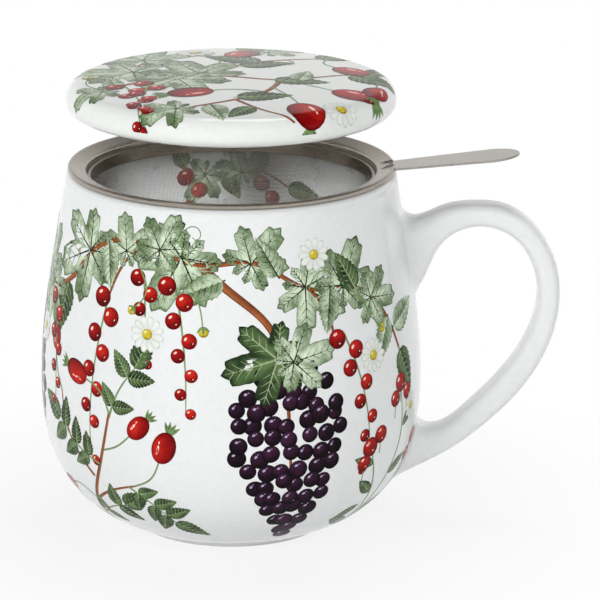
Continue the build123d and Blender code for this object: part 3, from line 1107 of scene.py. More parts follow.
def mug_sheet():
    """The transfer round the mug: x is 0 at the front and 72 at the handle, and y runs from foot to rim."""
    sheet = Sheet(11)
    each(twig, sheet,
         ([(-47, 79), (-38, 88), (-24, 90.5), (-8, 86.5), (6, 87), (20, 80), (32, 79), (44, 70), (49, 60)],
          1.5, 0.8),
         ([(-8, 86.5), (0, 80), (9, 72), (13, 62)], 2.2, 1.5),
         ([(-24, 90.5), (-30, 84), (-33, 77)], 0.9, 0.6),
         ([(20, 80), (25, 73), (26, 66)], 0.9, 0.6))
    # Lower left: hips on an upright briar.
    each(twig, sheet, ([(-46, 4), (-42, 20), (-35, 34), (-31, 48)], 1.4, 0.7),
         ([(-41, 22), (-33, 27), (-25, 30)], 0.9, 0.5), ([(-38, 30), (-46, 40), (-49, 50)], 0.9, 0.5))
    # Lower right: a low tuft of round berries.
    for points in ([(41, 8), (42, 22), (38, 36)], [(42, 8), (46, 24), (50, 38), (49, 50)],
                   [(42, 8), (53, 22), (59, 33)]):
        sheet.stroke("green", points, 0.8, 0.4)
    sheet.leaves("vine_leaf", "leaf_pale", (
        (-42, 86, 205, 15), (-29, 88, 100, 9), (-13, 88, -118, 14.5), (-19, 89.5, 62, 9.5),
        (5, 87, 48, 10.5), (19, 80.5, -35, 12.5), (30, 79.5, 62, 12), (39, 75, -8, 10)), 0.03)
    sheet.leaves("rose_leaf", "leaf_pale", (
        (-35, 89, -80, 11), (-2, 83, -158, 12), (12, 83.5, 118, 11), (47, 66, 20, 13),
        (45, 69, -118, 12), (26, 79.5, -100, 11)), -0.04)
    sheet.leaves("rose_leaf_dark", "leaf_dark", ((-50, 77, -100, 14), (49, 60, -62, 13), (34, 78, 118, 11)))
    each(tendril, sheet, (-10, 86, 140, 11, -1), (32, 79, -60, 12), (20, 80, 70, 8, -1), (-33, 77, -120, 8))
    grape_bunch(sheet, 13, 60, 3, 47, 33, 4.6)
    sheet.put("vine_leaf_dark", "leaf_dark", 11, 64, -165, 13.5, tone=-0.05)
    sheet.put("vine_leaf", "leaf_pale", 15, 63, 12, 11, tone=0.05)
    each(raceme, sheet, (-33, 77, -6, 10, 4.1), (-14.5, 82, 7, 8, 3.8), (29, 68, 12, 9, 3.9),
         (-23, 83, 4, 6, 3.4))
    each(rose_spray, sheet, (-46, 9, 148, 14.4, 2, 8), (-43, 16, 28, 14.4, 2, 8), (-35, 34, 150, 17, 3, 8.4),
         (-31, 47, 62, 15, 2, 8.2), (-27, 29.5, -42, 15, 3, 7.6))
    each(rose_hip, sheet,
         ([(-31, 48), (-34, 53), (-39, 55)], 3.2), ([(-25, 30), (-20, 33), (-17.5, 38)], 3.3),
         ([(-49, 50), (-52, 55), (-53, 59)], 2.8), ([(-34, 38), (-29, 40), (-25, 43.5)], 2.8),
         ([(-41, 22), (-47, 25), (-52, 24)], 2.6))
    each(daisy, sheet, (-21, 69, 4.4), (22, 88, 4.0, 11), (38, 61, 4.2))
    each(bud, sheet, ([(-12, 84), (-8, 77), (-7, 72)], 1.3), ([(36, 76), (38, 71), (41, 68)], 1.3),
         ([(-24, 84), (-22, 79), (-25, 75)], 1.1))
    sheet.leaves("long_leaf_dark", "leaf_dark", (
        (41, 12, 150, 9.5), (43, 14, 38, 10.5), (41.5, 24, 140, 8), (47.5, 28, 25, 8.5),
        (39, 33, 158, 7.5), (55, 25, -10, 8), (50.5, 40, 40, 7), (40, 20, -150, 8.5)), broad=1.25)
    for x, y, radius in ((37, 38, 2.6), (40.6, 40.5, 2.3), (35.5, 34, 2.2), (49, 51.5, 2.5),
                         (52.5, 48.5, 2.2), (46.4, 48, 2.1), (60, 34.5, 2.4), (57.5, 30.5, 2.1)):
        sheet.stroke("green", [(x * 0.94 + 2.6, y - 5), (x, y)], 0.35, 0.3)
        sheet.put("berry", "red", x, y, sheet.chance.uniform(-20, 20), radius)
    daisy(sheet, 55, 44, 3.4, 10)
    left_of_sheet(sheet)
    back_of_sheet(sheet)
    return sheet


def left_of_sheet(sheet):
    """The left side: a vine with one bunch, and a tuft of berries under it."""
    each(twig, sheet, ([(-47, 79), (-58, 74), (-70, 79), (-84, 84), (-98, 80)], 1.4, 0.7),
         ([(-70, 79), (-74, 70), (-72, 60)], 1.2, 0.8))
    sheet.leaves("vine_leaf", "leaf_pale", (
        (-60, 74, -110, 13), (-66, 77.5, 70, 11), (-80, 83, -80, 13.5), (-92, 82, 65, 11.5),
        (-98, 80, -140, 14)))
    grape_bunch(sheet, -72, 60, -4, 40, 27, 4.6)
    sheet.put("vine_leaf_dark", "leaf_dark", -73, 63, 165, 12.5)
    tendril(sheet, -84, 84, -110, 11)
    each(raceme, sheet, (-56, 72, 8, 7, 3.6), (-90, 80, -8, 9, 3.9))
    daisy(sheet, -63, 62, 4.0)
    for points in ([(-88, 6), (-90, 20), (-97, 34)], [(-88, 6), (-84, 18), (-85, 30)],
                   [(-88, 6), (-98, 16), (-107, 22)]):
        sheet.stroke("green", points, 0.8, 0.4)
    sheet.leaves("long_leaf_dark", "leaf_dark", (
        (-89, 12, 30, 9), (-89, 14, 150, 9), (-86, 22, 20, 8), (-93, 26, 165, 8.5),
        (-100, 18, 130, 8), (-101, 18, -120, 7.5)), broad=1.25)
    for x, y, radius in ((-97, 36, 2.5), (-94, 38.5, 2.2), (-85, 32, 2.4), (-108, 23, 2.4),
                         (-105.5, 26, 2.1)):
        sheet.put("berry", "red", x, y, 0, radius)


def back_of_sheet(sheet):
    # The middle of the back: a briar with hips under a swag of currant leaves.
    twig(sheet, [(-112, 86), (-126, 80), (-140, 84), (-154, 79), (-170, 85)], 1.3, 0.7)
    sheet.leaves("currant_leaf", "leaf_pale", (
        (-114, 85, -60, 10), (-122, 81, 80, 11), (-134, 82.5, -100, 12), (-146, 82, 70, 11),
        (-156, 80, -75, 12), (-168, 84, 110, 10)))
    for x, count in ((-118, 8), (-129, 10), (-143, 9), (-150, 7), (-163, 9)):
        raceme(sheet, x, 80, sheet.chance.uniform(-8, 8), count, 3.8)
    each(twig, sheet, ([(-138, 5), (-134, 20), (-128, 32), (-124, 44)], 1.3, 0.6),
         ([(-134, 20), (-142, 30), (-147, 40)], 0.9, 0.5))
    each(rose_spray, sheet, (-134, 18, 20, 16, 3, 8.2), (-141, 28, 160, 16, 3, 8.0),
         (-126, 38, 130, 14, 2, 7.6))
    each(rose_hip, sheet,
         ([(-124, 44), (-120, 49), (-119, 53)], 3.2), ([(-147, 40), (-151, 45), (-152, 49)], 3.0),
         ([(-130, 28), (-123, 29), (-118, 32)], 2.8))
    each(daisy, sheet, (-136, 54, 4.6), (-160, 30, 4.2))
    each(bud, sheet,
         ([(-156, 20), (-158, 36), (-163, 45)], 1.4), ([(-156, 20), (-151, 26), (-148, 30)], 1.2))
    sheet.stroke("green", [(-156, 4), (-157, 14), (-160, 26)], 0.8, 0.5)
    sheet.leaves("rose_leaf_dark", "leaf_dark", (
        (-156.5, 8, 150, 10), (-156.5, 11, 35, 11), (-158, 20, 140, 8)))
    # Behind the handle: a short vine that ends beside its lower root.
    twig(sheet, [(-175, 78), (-186, 86), (-200, 83), (-212, 74)], 1.3, 0.6)
    sheet.leaves("vine_leaf", "leaf_pale", (
        (-178, 80, -70, 12), (-188, 86, -110, 12.5), (-199, 83, 70, 10), (-206, 79, -100, 12)))
    twig(sheet, [(-192, 85), (-193, 74), (-191, 64)], 1.1, 0.8)
    grape_bunch(sheet, -191, 62, 3, 38, 26, 4.5)
    each(raceme, sheet, (-205, 76, -6, 8, 3.7), (-178, 76, 6, 7, 3.6))
    daisy(sheet, -207, 44, 4.2)
    rose_spray(sheet, -205, 14, 70, 18, 3, 8.0)
    rose_hip(sheet, [(-205, 14), (-210, 24), (-209, 33)], 2.9)


def lid_sheet():
    """The transfer on the lid, seen from above with the tab's side at +x."""
    sheet = Sheet(23)
    each(twig, sheet, ([(-34, -13), (-20, -4), (-5, 0), (12, -4), (28, 4), (37, 6)], 1.7, 0.9),
         ([(-5, 0), (2, 12), (14, 20), (26, 24)], 1.5, 0.8), ([(-20, -4), (-24, 8), (-20, 20)], 1.3, 0.7),
         ([(12, -4), (8, -16), (-4, -26), (-14, -31)], 1.5, 0.8),
         ([(1, -23), (7, -31), (15, -37)], 1.1, 0.6))
    sheet.leaves("vine_leaf", "leaf_pale", (
        (-24, 6, 165, 16), (-22, 21, 80, 15.5), (-8, 2, 112, 17), (-31, -13, -160, 9),
        (-13, -3, -70, 15), (9, 30, 80, 12), (-13, -30, -150, 10)))
    sheet.leaves("rose_leaf_dark", "leaf_dark", (
        (7, 16, 150, 16), (21, 23, 30, 15), (29, 4, -40, 15), (10, -4, -5, 14),
        (2, 11, 20, 14), (1, -21, 10, 14), (34, 6, 60, 12), (5, -29, -125, 10)))
    sheet.leaves("rose_leaf", "leaf_pale", (
        (-28, -9, 100, 10), (16, -4, 75, 11), (-16, -3, 40, 10), (-5, -27, -75, 12)))
    each(tendril, sheet, (-21, 20, 180, 10), (13, 20, -40, 8, -1))
    each(rose_hip, sheet, ([(12, -4), (19, -9), (25, -13)], 4.7), ([(10, -12), (14, -20), (16, -26)], 4.9),
         ([(24, 23), (23, 16), (26, 12)], 4.2), ([(0, 8), (-3, 16), (0, 23)], 4.4),
         ([(31, 4), (35, -3), (35, -8)], 3.6), ([(8, -16), (0, -14), (-5, -15)], 4.4))
    each(raceme, sheet, (-26, -8, 10, 7, 4.0), (-19, -6, -6, 7, 4.0))
    each(daisy, sheet, (-9, 29, 5.0), (26, -28, 4.6))
    bud(sheet, [(-30, -12), (-35, -5), (-35, 1)], 1.5)
    return sheet


def inner_sheet():
    """A small sprig inside the back wall, above where the tea stands."""
    sheet = Sheet(31)
    twig(sheet, [(-17, 16), (-6, 12), (6, 14), (18, 9)], 1.1, 0.6)
    sheet.leaves("rose_leaf_dark", "leaf_dark", (
        (-14, 15, 120, 8), (-2, 12.5, -60, 8), (8, 13.5, 80, 9), (17, 9.5, -10, 9)))
    sheet.leaves("vine_leaf", "leaf_pale", ((-8, 12.5, -120, 8.5), (3, 13, 100, 8)))
    each(raceme, sheet, (-12, 13, 4, 6, 3.8), (11, 11, -4, 5, 3.6))
    return sheet


# ---------------------------------------------------------------- from the sheet to the glaze

def scatter_tree():
    """Places a flat motif at every point of the layout, by the point's own turn and size."""
    tree, given, result = new_group("print_motifs", "GeometryNodeTree", [
        ("Geometry", "Geometry", None),
        ("Motif", "Object", None),
        ("Material", "Material", None),
    ], [("Geometry", "Geometry")])
    motif = node(tree, "GeometryNodeObjectInfo", {"Object": given["Motif"]})
    turn = node(tree, "GeometryNodeInputNamedAttribute", {"Name": "turn"}, data_type="FLOAT")
    size = node(tree, "GeometryNodeInputNamedAttribute", {"Name": "size"}, data_type="FLOAT_VECTOR")
    rotation = node(tree, "ShaderNodeCombineXYZ", {"Z": turn.outputs["Attribute"]})
    place = node(tree, "GeometryNodeInstanceOnPoints", {
        "Points": given["Geometry"], "Instance": motif.outputs["Geometry"],
        "Rotation": rotation.outputs["Vector"], "Scale": size.outputs["Attribute"]})
    return painted(tree, given, result, place.outputs["Instances"])


def with_floats(mesh, **columns):
    for name, values in columns.items():
        values = np.asarray(values, float)
        kind = "FLOAT_VECTOR" if values.ndim == 2 else "FLOAT"
        field = mesh.attributes.new(name, kind, "POINT")
        field.data.foreach_set("vector" if values.ndim == 2 else "value", values.ravel())


def read_floats(mesh, name, vector=False):
    field = mesh.attributes[name]
    values = np.empty(len(field.data) * (3 if vector else 1))
    field.data.foreach_get("vector" if vector else "value", values)
    return values.reshape(-1, 3) if vector else values


def sheet_patches(sheet, tree):
    """The laid-out motifs as flat patches: anchors, offsets, levels, faces, shades, tones and ink names."""
    patches = []
    for (motif, ink), rows in sheet.motifs.items():
        rows = np.array(rows)
        points, faces, shades = MOTIFS[motif]
        flat = bpy.data.meshes.new("motif")
        flat.from_pydata(points.tolist(), [], faces)
        with_floats(flat, shade=shades, step=points[:, 2])
        stamp = linked("motif", flat)
        spots = bpy.data.meshes.new("layout")
        anchors = np.c_[rows[:, 0:2], np.zeros(len(rows))]
        spots.from_pydata(anchors.tolist(), [], [])
        with_floats(spots, turn=rows[:, 2], size=np.c_[rows[:, 3:5], np.ones(len(rows))],
                    anchor=anchors, tone=rows[:, 5], level=rows[:, 6])
        mesh = grown(linked("layout", spots), tree, "motifs", motif=stamp, material=INKS[ink])
        where = np.empty(len(mesh.vertices) * 3)
        mesh.vertices.foreach_get("co", where)
        where = where.reshape(-1, 3)
        anchor = read_floats(mesh, "anchor", vector=True)
        level = read_floats(mesh, "level") + 0.5 * read_floats(mesh, "step")
        faces = [tuple(face.vertices) for face in mesh.polygons]
        patches.append((anchor[:, :2], (where - anchor)[:, :2], level, faces,
                        read_floats(mesh, "shade"), read_floats(mesh, "tone"), ink))
        bpy.data.meshes.remove(mesh)
        bpy.data.objects.remove(stamp)
        bpy.data.meshes.remove(flat)
    columns = np.array([-1, -0.6, 0.1, 0.7, 1])
    tones = np.array([0.1, 0.7, 0.55, 0.4, 0.08])
    for ink, path, widths, level in sheet.lines:
        points, faces, shades = ribbon(path, widths, 0, tones, columns)
        anchor = np.repeat(path, len(columns), axis=0)
        count = len(points)
        patches.append((anchor, points[:, :2] - anchor, np.full(count, float(level)), faces,
                        shades, np.zeros(count), ink))
    return patches


PRINT_FROM = 0.02  # the lowest and the highest layer over the glaze
PRINT_TO = 0.16
SHEET_RADIUS = 46.0  # a sheet's x is laid round the mug on this radius
SPRIG_DROP = 22  # from the lip's end down the inside to the sheet's y = 0
PRINT_END = 58  # degrees round the lip, where the print stops
TIGHT_LID = (33.5, 0.8)  # beyond this radius the lid's print has no longer edges than this
LIP_EDGE = arc((OUTER_CREST, LIP_HEIGHT), LIP_SKIN, OUTER_LEAN + LIP_GAP, PRINT_END, 8)
CROWN = np.linspace(0, CROWN_END, 40)
WALL_LINE = TurnedLine(np.vstack([SKIN, LIP_EDGE]))
CUP_LINE = TurnedLine(CUP_POINTS)
LID_LINE = TurnedLine(joined(
    np.c_[CROWN, lid_top(CROWN)],
    arc(LID_BEND, LID_TOP_ROUNDING, CROWN_LEAN, 0, 24),
    line((LID_RADIUS, LID_BEND[1]), (LID_RADIUS, LID_BEND[1] - 0.6), 3),
), -1)


def lay_on_wall(anchor, offset, lift):
    """Points and normals on the outside of the mug."""
    run = np.clip(anchor[:, 1] + offset[:, 1], 2, WALL_LINE.length[-1])
    turn = anchor[:, 0] / SHEET_RADIUS + offset[:, 0] / WALL_LINE.at(run)[0]
    return WALL_LINE.laid(run, np.c_[np.sin(turn), -np.cos(turn)], lift)


def lay_inside(anchor, offset, lift):
    """Points and normals inside the back wall."""
    run = np.clip(SPRIG_DROP - anchor[:, 1] - offset[:, 1], 0.5, CUP_LINE.length[-1])
    turn = anchor[:, 0] / SHEET_RADIUS + offset[:, 0] / CUP_LINE.at(run)[0]
    return CUP_LINE.laid(run, np.c_[np.sin(turn), np.cos(turn)], lift)


def lay_on_lid(anchor, offset, lift):
    """Points and normals on the lid's top and round its edge."""
    place = anchor + offset
    reach = np.maximum(np.hypot(*place.T), 1e-6)
    return LID_LINE.laid(np.minimum(reach, LID_LINE.length[-1]), place / reach[:, None], lift)


def refined(patch, reach, longest):
    """The same patch with shorter edges beyond a reach from the middle, to follow a tight rounding."""
    anchor, offset, level, faces, shade, tone, ink = patch
    place = anchor + offset
    mesh = bpy.data.meshes.new("patch")
    mesh.from_pydata(np.c_[place, np.zeros(len(place))].tolist(), [], faces)
    with_floats(mesh, level=level, shade=shade, tone=tone)
    grid = bmesh.new()
    grid.from_mesh(mesh)
    bmesh.ops.triangulate(grid, faces=[face for face in grid.faces if len(face.verts) > 4])
    for _ in range(4):
        long = [edge for edge in grid.edges
                if edge.calc_length() > longest and max(vertex.co.length for vertex in edge.verts) > reach]
        bmesh.ops.subdivide_edges(grid, edges=long, cuts=1, use_grid_fill=True)
    grid.to_mesh(mesh)
    grid.free()
    place = np.array([vertex.co[:2] for vertex in mesh.vertices])
    level, shade, tone = (read_floats(mesh, label) for label in ("level", "shade", "tone"))
    faces = [tuple(face.vertices) for face in mesh.polygons]
    bpy.data.meshes.remove(mesh)
    return place, np.zeros_like(place), level, faces, shade, tone, ink


def printed(name, sheet, tree, lay, tight=None):
    """One mesh of all that a sheet prints, laid on its surface, with an ink for each kind of motif."""
    inks = list(INKS)
    faces, ink_of_face, columns, base = [], [], [], 0
    patches = sheet_patches(sheet, tree)
    if tight:
        patches = [refined(patch, *tight) for patch in patches]
    top_level = max(level.max() for _, _, level, *_ in patches)
    for anchor, offset, level, some, shade, tone, ink in patches:
        place, facing = lay(anchor, offset, PRINT_FROM + (PRINT_TO - PRINT_FROM) * level / top_level)
        columns.append((place, facing, shade, tone))
        faces.extend(tuple(k + base for k in face) for face in some)
        ink_of_face.extend([inks.index(ink)] * len(some))
        base += len(place)
    vertices, normals, shades, tones = (np.concatenate(column) for column in zip(*columns))
    piece = mesh_object(name, vertices, faces, INKS.values())
    piece.data.polygons.foreach_set("material_index", ink_of_face)
    with_floats(piece.data, shade=shades, tone=tones)
    piece.data.normals_split_custom_set_from_vertices(normals.tolist())
    return piece


# ---------------------------------------------------------------- shader effects that materials share

def sums(tree, operation, first, second=0.5, clamp=False):
    """A Math node fed by sockets or plain numbers."""
    item = node(tree, "ShaderNodeMath", {0: first, 1: second}, operation=operation, use_clamp=clamp)
    return item.outputs[0]


def ramped(tree, value, low, high, start=0.0, end=1.0):
    """A smooth Map Range from low and high to start and end."""
    inputs = {"Value": value, "From Min": low, "From Max": high, "To Min": start, "To Max": end}
    return node(tree, "ShaderNodeMapRange", inputs, interpolation_type="SMOOTHSTEP").outputs["Result"]


def mixed(tree, factor, first, second):
    return node(tree, "ShaderNodeMix", {0: factor, 6: first, 7: second}, data_type="RGBA").outputs[2]


def noise(tree, vector, scale, detail=3.0):
    return node(tree, "ShaderNodeTexNoise", {"Vector": vector, "Scale": scale, "Detail": detail}).outputs[0]


def own_place(tree):
    """Where a point of the piece lies, in the piece's own coordinates."""
    return node(tree, "ShaderNodeTexCoord").outputs["Object"]


def split(tree, vector):
    """A vector's x, y and z."""
    return node(tree, "ShaderNodeSeparateXYZ", {0: vector}).outputs


def printed_colour_effect():
    """Turns the print's shade, from outline through dark and light to the spot of shine, into its ink."""
    colours = [(label, "Color", (0.5, 0.5, 0.5, 1)) for label in ("Outline", "Dark", "Light", "Shine")]
    tree, given, result = new_group("printed_colour", "ShaderNodeTree", colours + [
        ("Shade", "Float", 0.5),
        ("Tone", "Float", 0.0),
        ("Wash", "Float", 0.12),
    ], [("Colour", "Color")])
    place = own_place(tree)
    broad, fine = noise(tree, place, 420.0, 2.0), noise(tree, place, 2600.0, 2.0)
    mottle = sums(tree, "ADD", broad, sums(tree, "MULTIPLY", fine, 0.6))
    mottle = sums(tree, "MULTIPLY", sums(tree, "SUBTRACT", mottle, 0.8), given["Wash"])
    shift = sums(tree, "ADD", sums(tree, "MULTIPLY", mottle, 4.0), given["Tone"])
    body = sums(tree, "MULTIPLY", ramped(tree, given["Shade"], 0.1, 0.24),
                ramped(tree, given["Shade"], 0.9, 0.98, 1.0, 0.0))
    value = sums(tree, "ADD", given["Shade"], sums(tree, "MULTIPLY", shift, body))
    colour = given["Outline"]
    for label, low, high in (("Dark", 0.06, 0.24), ("Light", 0.22, 0.92), ("Shine", 0.95, 1.0)):
        colour = mixed(tree, ramped(tree, value, low, high), colour, given[label])
    feed(result, {"Colour": colour})
    return arranged(tree)


ROUND_STRETCH = 0.0012  # how fast the marks change on their way round the axis, in metres for each radian
STRAIGHT_STRETCH = 0.02  # the same along x, as a share of the length


def brushing_effect():
    """Fine grinding marks in sheet metal: round the mug's axis, or along x."""
    tree, given, result = new_group("brushing", "ShaderNodeTree", [
        ("Round", "Float", 1.0),
        ("Marks per Metre", "Float", 9000.0),
    ], [("Marks", "Float"), ("Clouds", "Float")])
    place = own_place(tree)
    x, y, z = split(tree, place)
    square = sums(tree, "ADD", sums(tree, "MULTIPLY", x, x), sums(tree, "MULTIPLY", y, y))
    radius = sums(tree, "SQRT", square)
    turn = sums(tree, "MULTIPLY", sums(tree, "ARCTAN2", y, x), ROUND_STRETCH)
    across, along = (
        node(tree, "ShaderNodeMix", {0: given["Round"], 2: flat, 3: curved}, data_type="FLOAT").outputs[0]
        for flat, curved in ((y, radius), (sums(tree, "MULTIPLY", x, STRAIGHT_STRETCH), turn)))
    drawn_out = node(tree, "ShaderNodeCombineXYZ", {0: across, 1: along, 2: z}).outputs[0]
    feed(result, {"Marks": noise(tree, drawn_out, given["Marks per Metre"], 4.0),
                  "Clouds": noise(tree, place, 90.0, 2.0)})
    return arranged(tree)


def glaze_effect():
    """The slight unevenness of fired glaze, and where the foot was wiped bare of it."""
    tree, given, result = new_group("glaze", "ShaderNodeTree", [
        ("Bare below", "Float", -1.0),
    ], [("Ripple", "Float"), ("Specks", "Float"), ("Bare", "Float")])
    place = own_place(tree)
    above = sums(tree, "SUBTRACT", split(tree, place)[2], given["Bare below"])
    feed(result, {"Bare": ramped(tree, above, 0.0, 0.0003, 1.0, 0.0),
                  "Ripple": noise(tree, place, 34.0, 1.0), "Specks": noise(tree, place, 700.0)})
    return arranged(tree)


def with_effect(tree, effect, inputs):
    """What an effect gives in a material, with that material's own values."""
    item = node(tree, "ShaderNodeGroup", node_tree=effect)
    feed(item, inputs)
    return item.outputs


def new_material(name):
    material = bpy.data.materials.new(name)
    material.use_nodes = True
    return material, material.node_tree, material.node_tree.nodes["Principled BSDF"]


def finished(material, end, inputs):
    """The material, once its last node is fed."""
    feed(end, inputs)
    arranged(material.node_tree)
    return material


def toned(colour, share=1.0):
    return tuple(c * share for c in colour) + (1,)


def bumped(tree, height, strength, distance):
    inputs = {"Strength": strength, "Distance": distance, "Height": height}
    return node(tree, "ShaderNodeBump", inputs).outputs[0]


def porcelain(name, colour, bare_below=-1.0):
    """White body under clear gloss glaze."""
    material, tree, shader = new_material(name)
    glaze = with_effect(tree, GLAZE, {"Bare below": bare_below})
    tint = mixed(tree, ramped(tree, glaze["Specks"], 0.35, 0.75), toned(colour), toned(colour, 0.97))
    gloss = ramped(tree, glaze["Specks"], 0.2, 0.8, *GLAZE_ROUGHNESS)
    rough = sums(tree, "MULTIPLY", glaze["Bare"], 0.6)
    return finished(material, shader, {
        "Base Color": mixed(tree, glaze["Bare"], tint, (0.76, 0.74, 0.69, 1)),
        "Roughness": sums(tree, "ADD", gloss, rough, clamp=True),
        "Normal": bumped(tree, glaze["Ripple"], 0.2, 0.0001),
    })


def brushed(name, colour, roundabout, smooth, rough):
    """Stainless sheet with its grinding marks."""
    material, tree, shader = new_material(name)
    brushing = with_effect(tree, BRUSHING, {"Round": roundabout})
    marks = brushing["Marks"]
    fine, broad = sums(tree, "MULTIPLY", marks, 0.7), sums(tree, "MULTIPLY", brushing["Clouds"], 0.3)
    spread = sums(tree, "ADD", fine, broad)
    return finished(material, shader, {
        "Base Color": mixed(tree, ramped(tree, marks, 0.3, 0.7), toned(colour, 0.98), toned(colour)),
        "Roughness": ramped(tree, spread, 0.3, 0.7, smooth, rough),
        "Metallic": 1.0,
        "Normal": bumped(tree, marks, 0.05, 0.00002),
    })


def drawn_wire(name, colour):
    """Bright drawn wire, a little duller in patches."""
    material, tree, shader = new_material(name)
    patches = noise(tree, own_place(tree), 160.0, 2.0)
    return finished(material, shader, {
        "Base Color": mixed(tree, ramped(tree, patches, 0.3, 0.7), toned(colour, 0.88), toned(colour)),
        "Roughness": ramped(tree, patches, 0.3, 0.7, 0.26, 0.36),
        "Metallic": 1.0,
    })


def linear(colour):
    """Written colour to the linear values that sockets take."""
    return tuple(c / 12.92 if c <= 0.04045 else ((c + 0.055) / 1.055) ** 2.4 for c in colour) + (1.0,)


def ink(name, outline, dark, light, shine, wash=0.12):
    """One ink of the print, fired under the glaze."""
    material, tree, shader = new_material("ink_" + name)
    written = {"Outline": outline, "Dark": dark, "Light": light, "Shine": shine}
    inputs = {label: linear(colour) for label, colour in written.items()}
    inputs["Wash"] = wash
    for label in ("shade", "tone"):
        read = node(tree, "ShaderNodeAttribute", attribute_type="GEOMETRY", attribute_name=label)
        inputs[label.title()] = read.outputs["Fac"]
    specks = with_effect(tree, GLAZE, {})["Specks"]
    return finished(material, shader, {
        "Base Color": with_effect(tree, PRINTED_COLOUR, inputs)["Colour"],
        "Roughness": ramped(tree, specks, 0.2, 0.8, *GLAZE_ROUGHNESS),
        "Specular IOR Level": 0.07,
    })


GLAZE_ROUGHNESS = (0.07, 0.13)
PRINTED_COLOUR = printed_colour_effect()
BRUSHING = brushing_effect()
GLAZE = glaze_effect()

INKS = {
    "leaf_pale": ink("leaf_pale", (.15, .19, .11), (.41, .50, .35), (.85, .91, .80), (.94, .96, .90), 0.18),
    "leaf_dark": ink("leaf_dark", (.06, .09, .05), (.13, .20, .11), (.38, .49, .30), (.64, .70, .54), 0.14),
    "red": ink("red", (.32, .02, .03), (.52, .03, .04), (.85, .17, .11), (1, .87, .82)),
    "plum": ink("plum", (.03, .015, .03), (.075, .03, .065), (.27, .13, .24), (.70, .66, .78)),
    "twig": ink("twig", (.20, .09, .05), (.42, .20, .10), (.70, .42, .24), (.8, .6, .4)),
    "green": ink("green", (.15, .24, .13), (.36, .48, .28), (.60, .70, .46), (.8, .85, .7)),
    "petal": ink("petal", (.56, .61, .57), (.80, .83, .80), (.95, .95, .93), (1, 1, 1), 0.05),
    "yellow": ink("yellow", (.46, .40, .06), (.76, .67, .13), (.91, .86, .36), (1, .98, .75)),
}

MUG_GLAZE = porcelain("porcelain_mug", (0.83, 0.845, 0.845), bare_below=0.0004)
LID_GLAZE = porcelain("porcelain_lid", (0.835, 0.855, 0.825))
RING_STEEL = brushed("ring_steel", (0.37, 0.33, 0.285), 1.0, 0.25, 0.31)
# The band's steel colour is darkened well below the ring's: its own steel tone with painted shade added,
# standing in for the shade under the lid where the band shows at the back.
SHADED_BAND_STEEL = brushed("band_steel", (0.27, 0.23, 0.185), 1.0, 0.26, 0.34)
TAB_STEEL = brushed("tab_steel", (0.49, 0.46, 0.425), 0.0, 0.26, 0.32)
WIRE_STEEL = drawn_wire("wire_steel", (0.50, 0.48, 0.45))


# ---------------------------------------------------------------- the object

def placed(piece, body, slot, *replaced):
    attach(piece, body)
    for name in replaced:
        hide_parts(name)
    return piece


def dress():
    placed(mug_shell(MUG_GLAZE), "mug", "porcelain", "mug_body")
    placed(handle(MUG_GLAZE), "mug", "porcelain", "mug_handle")
    placed(pressed_ring(RING_STEEL), "strainer", "steel_sheet", "strainer_rim")
    placed(tab(TAB_STEEL), "strainer", "steel_sheet", "strainer_rim")
    placed(ribs(RING_STEEL), "strainer", "steel_sheet", "strainer_rim")
    placed(clamp_band(SHADED_BAND_STEEL), "strainer", "steel_sheet", "strainer_band")
    for piece in woven_cloth(WIRE_STEEL):
        placed(piece, "strainer", "steel_mesh", "strainer_mesh")
    placed(lid_disc(LID_GLAZE), "lid", "porcelain", "lid")
    motifs = scatter_tree()
    placed(printed("mug_print", mug_sheet(), motifs, lay_on_wall), "mug", "porcelain")
    placed(printed("cup_print", inner_sheet(), motifs, lay_inside), "mug", "porcelain")
    placed(printed("lid_print", lid_sheet(), motifs, lay_on_lid, tight=TIGHT_LID), "lid", "porcelain")


# ---------------------------------------------------------------- floor, light and camera

def seen_by_eye(tree):
    """One for rays from the camera, in reflections and through glass."""
    rays = node(tree, "ShaderNodeLightPath").outputs
    seen = sums(tree, "MAXIMUM", rays["Is Camera Ray"], rays["Is Glossy Ray"])
    return sums(tree, "MAXIMUM", seen, rays["Is Transmission Ray"])


def floor_material():
    """A pale floor that keeps the shadow near the mug and fades to white further out."""
    material, tree, shader = new_material("pale_floor")
    feed(shader, {"Base Color": (0.86, 0.86, 0.86, 1), "Roughness": 0.7, "Specular IOR Level": 0.2})
    place = own_place(tree)
    length = node(tree, "ShaderNodeVectorMath", {0: place}, operation="LENGTH").outputs["Value"]
    near, far = 0.03, 0.13
    away = ramped(tree, length, near, far, 0.8, 1.0)
    mix = node(tree, "ShaderNodeMixShader", {
        0: sums(tree, "MULTIPLY", seen_by_eye(tree), away), 1: shader.outputs[0],
        2: node(tree, "ShaderNodeEmission").outputs[0]})
    return finished(material, tree.nodes["Material Output"], {"Surface": mix.outputs[0]})


def build_floor():
    side, under = 6000.0, -0.05
    corners = [(x, y, under) for x, y in ((-side, -side), (side, -side), (side, side), (-side, side))]
    mesh_object("floor", corners, [(0, 1, 2, 3)], [floor_material()], smooth=False)


def build_world(level, overhead):
    """White to the eye and in reflections, and greyer overhead. The light itself is soft and weaker."""
    world = bpy.data.worlds.new("studio")
    world.use_nodes = True
    tree = world.node_tree
    way = node(tree, "ShaderNodeTexCoord").outputs["Generated"]
    height = split(tree, way)[2]
    light = tree.nodes["Background"]
    strength = ramped(tree, height, 0.1, 0.75, level, overhead)
    feed(light, {"Color": (0.98, 0.99, 1.0, 1), "Strength": strength})
    white = node(tree, "ShaderNodeBackground", {
        "Color": (1, 1, 1, 1), "Strength": ramped(tree, height, 0.2, 0.75, 1.0, 0.15)})
    mix = node(tree, "ShaderNodeMixShader", {0: seen_by_eye(tree), 1: light.outputs[0], 2: white.outputs[0]})
    feed(tree.nodes["World Output"], {"Surface": mix.outputs[0]})
    arranged(tree)
    bpy.context.scene.world = world


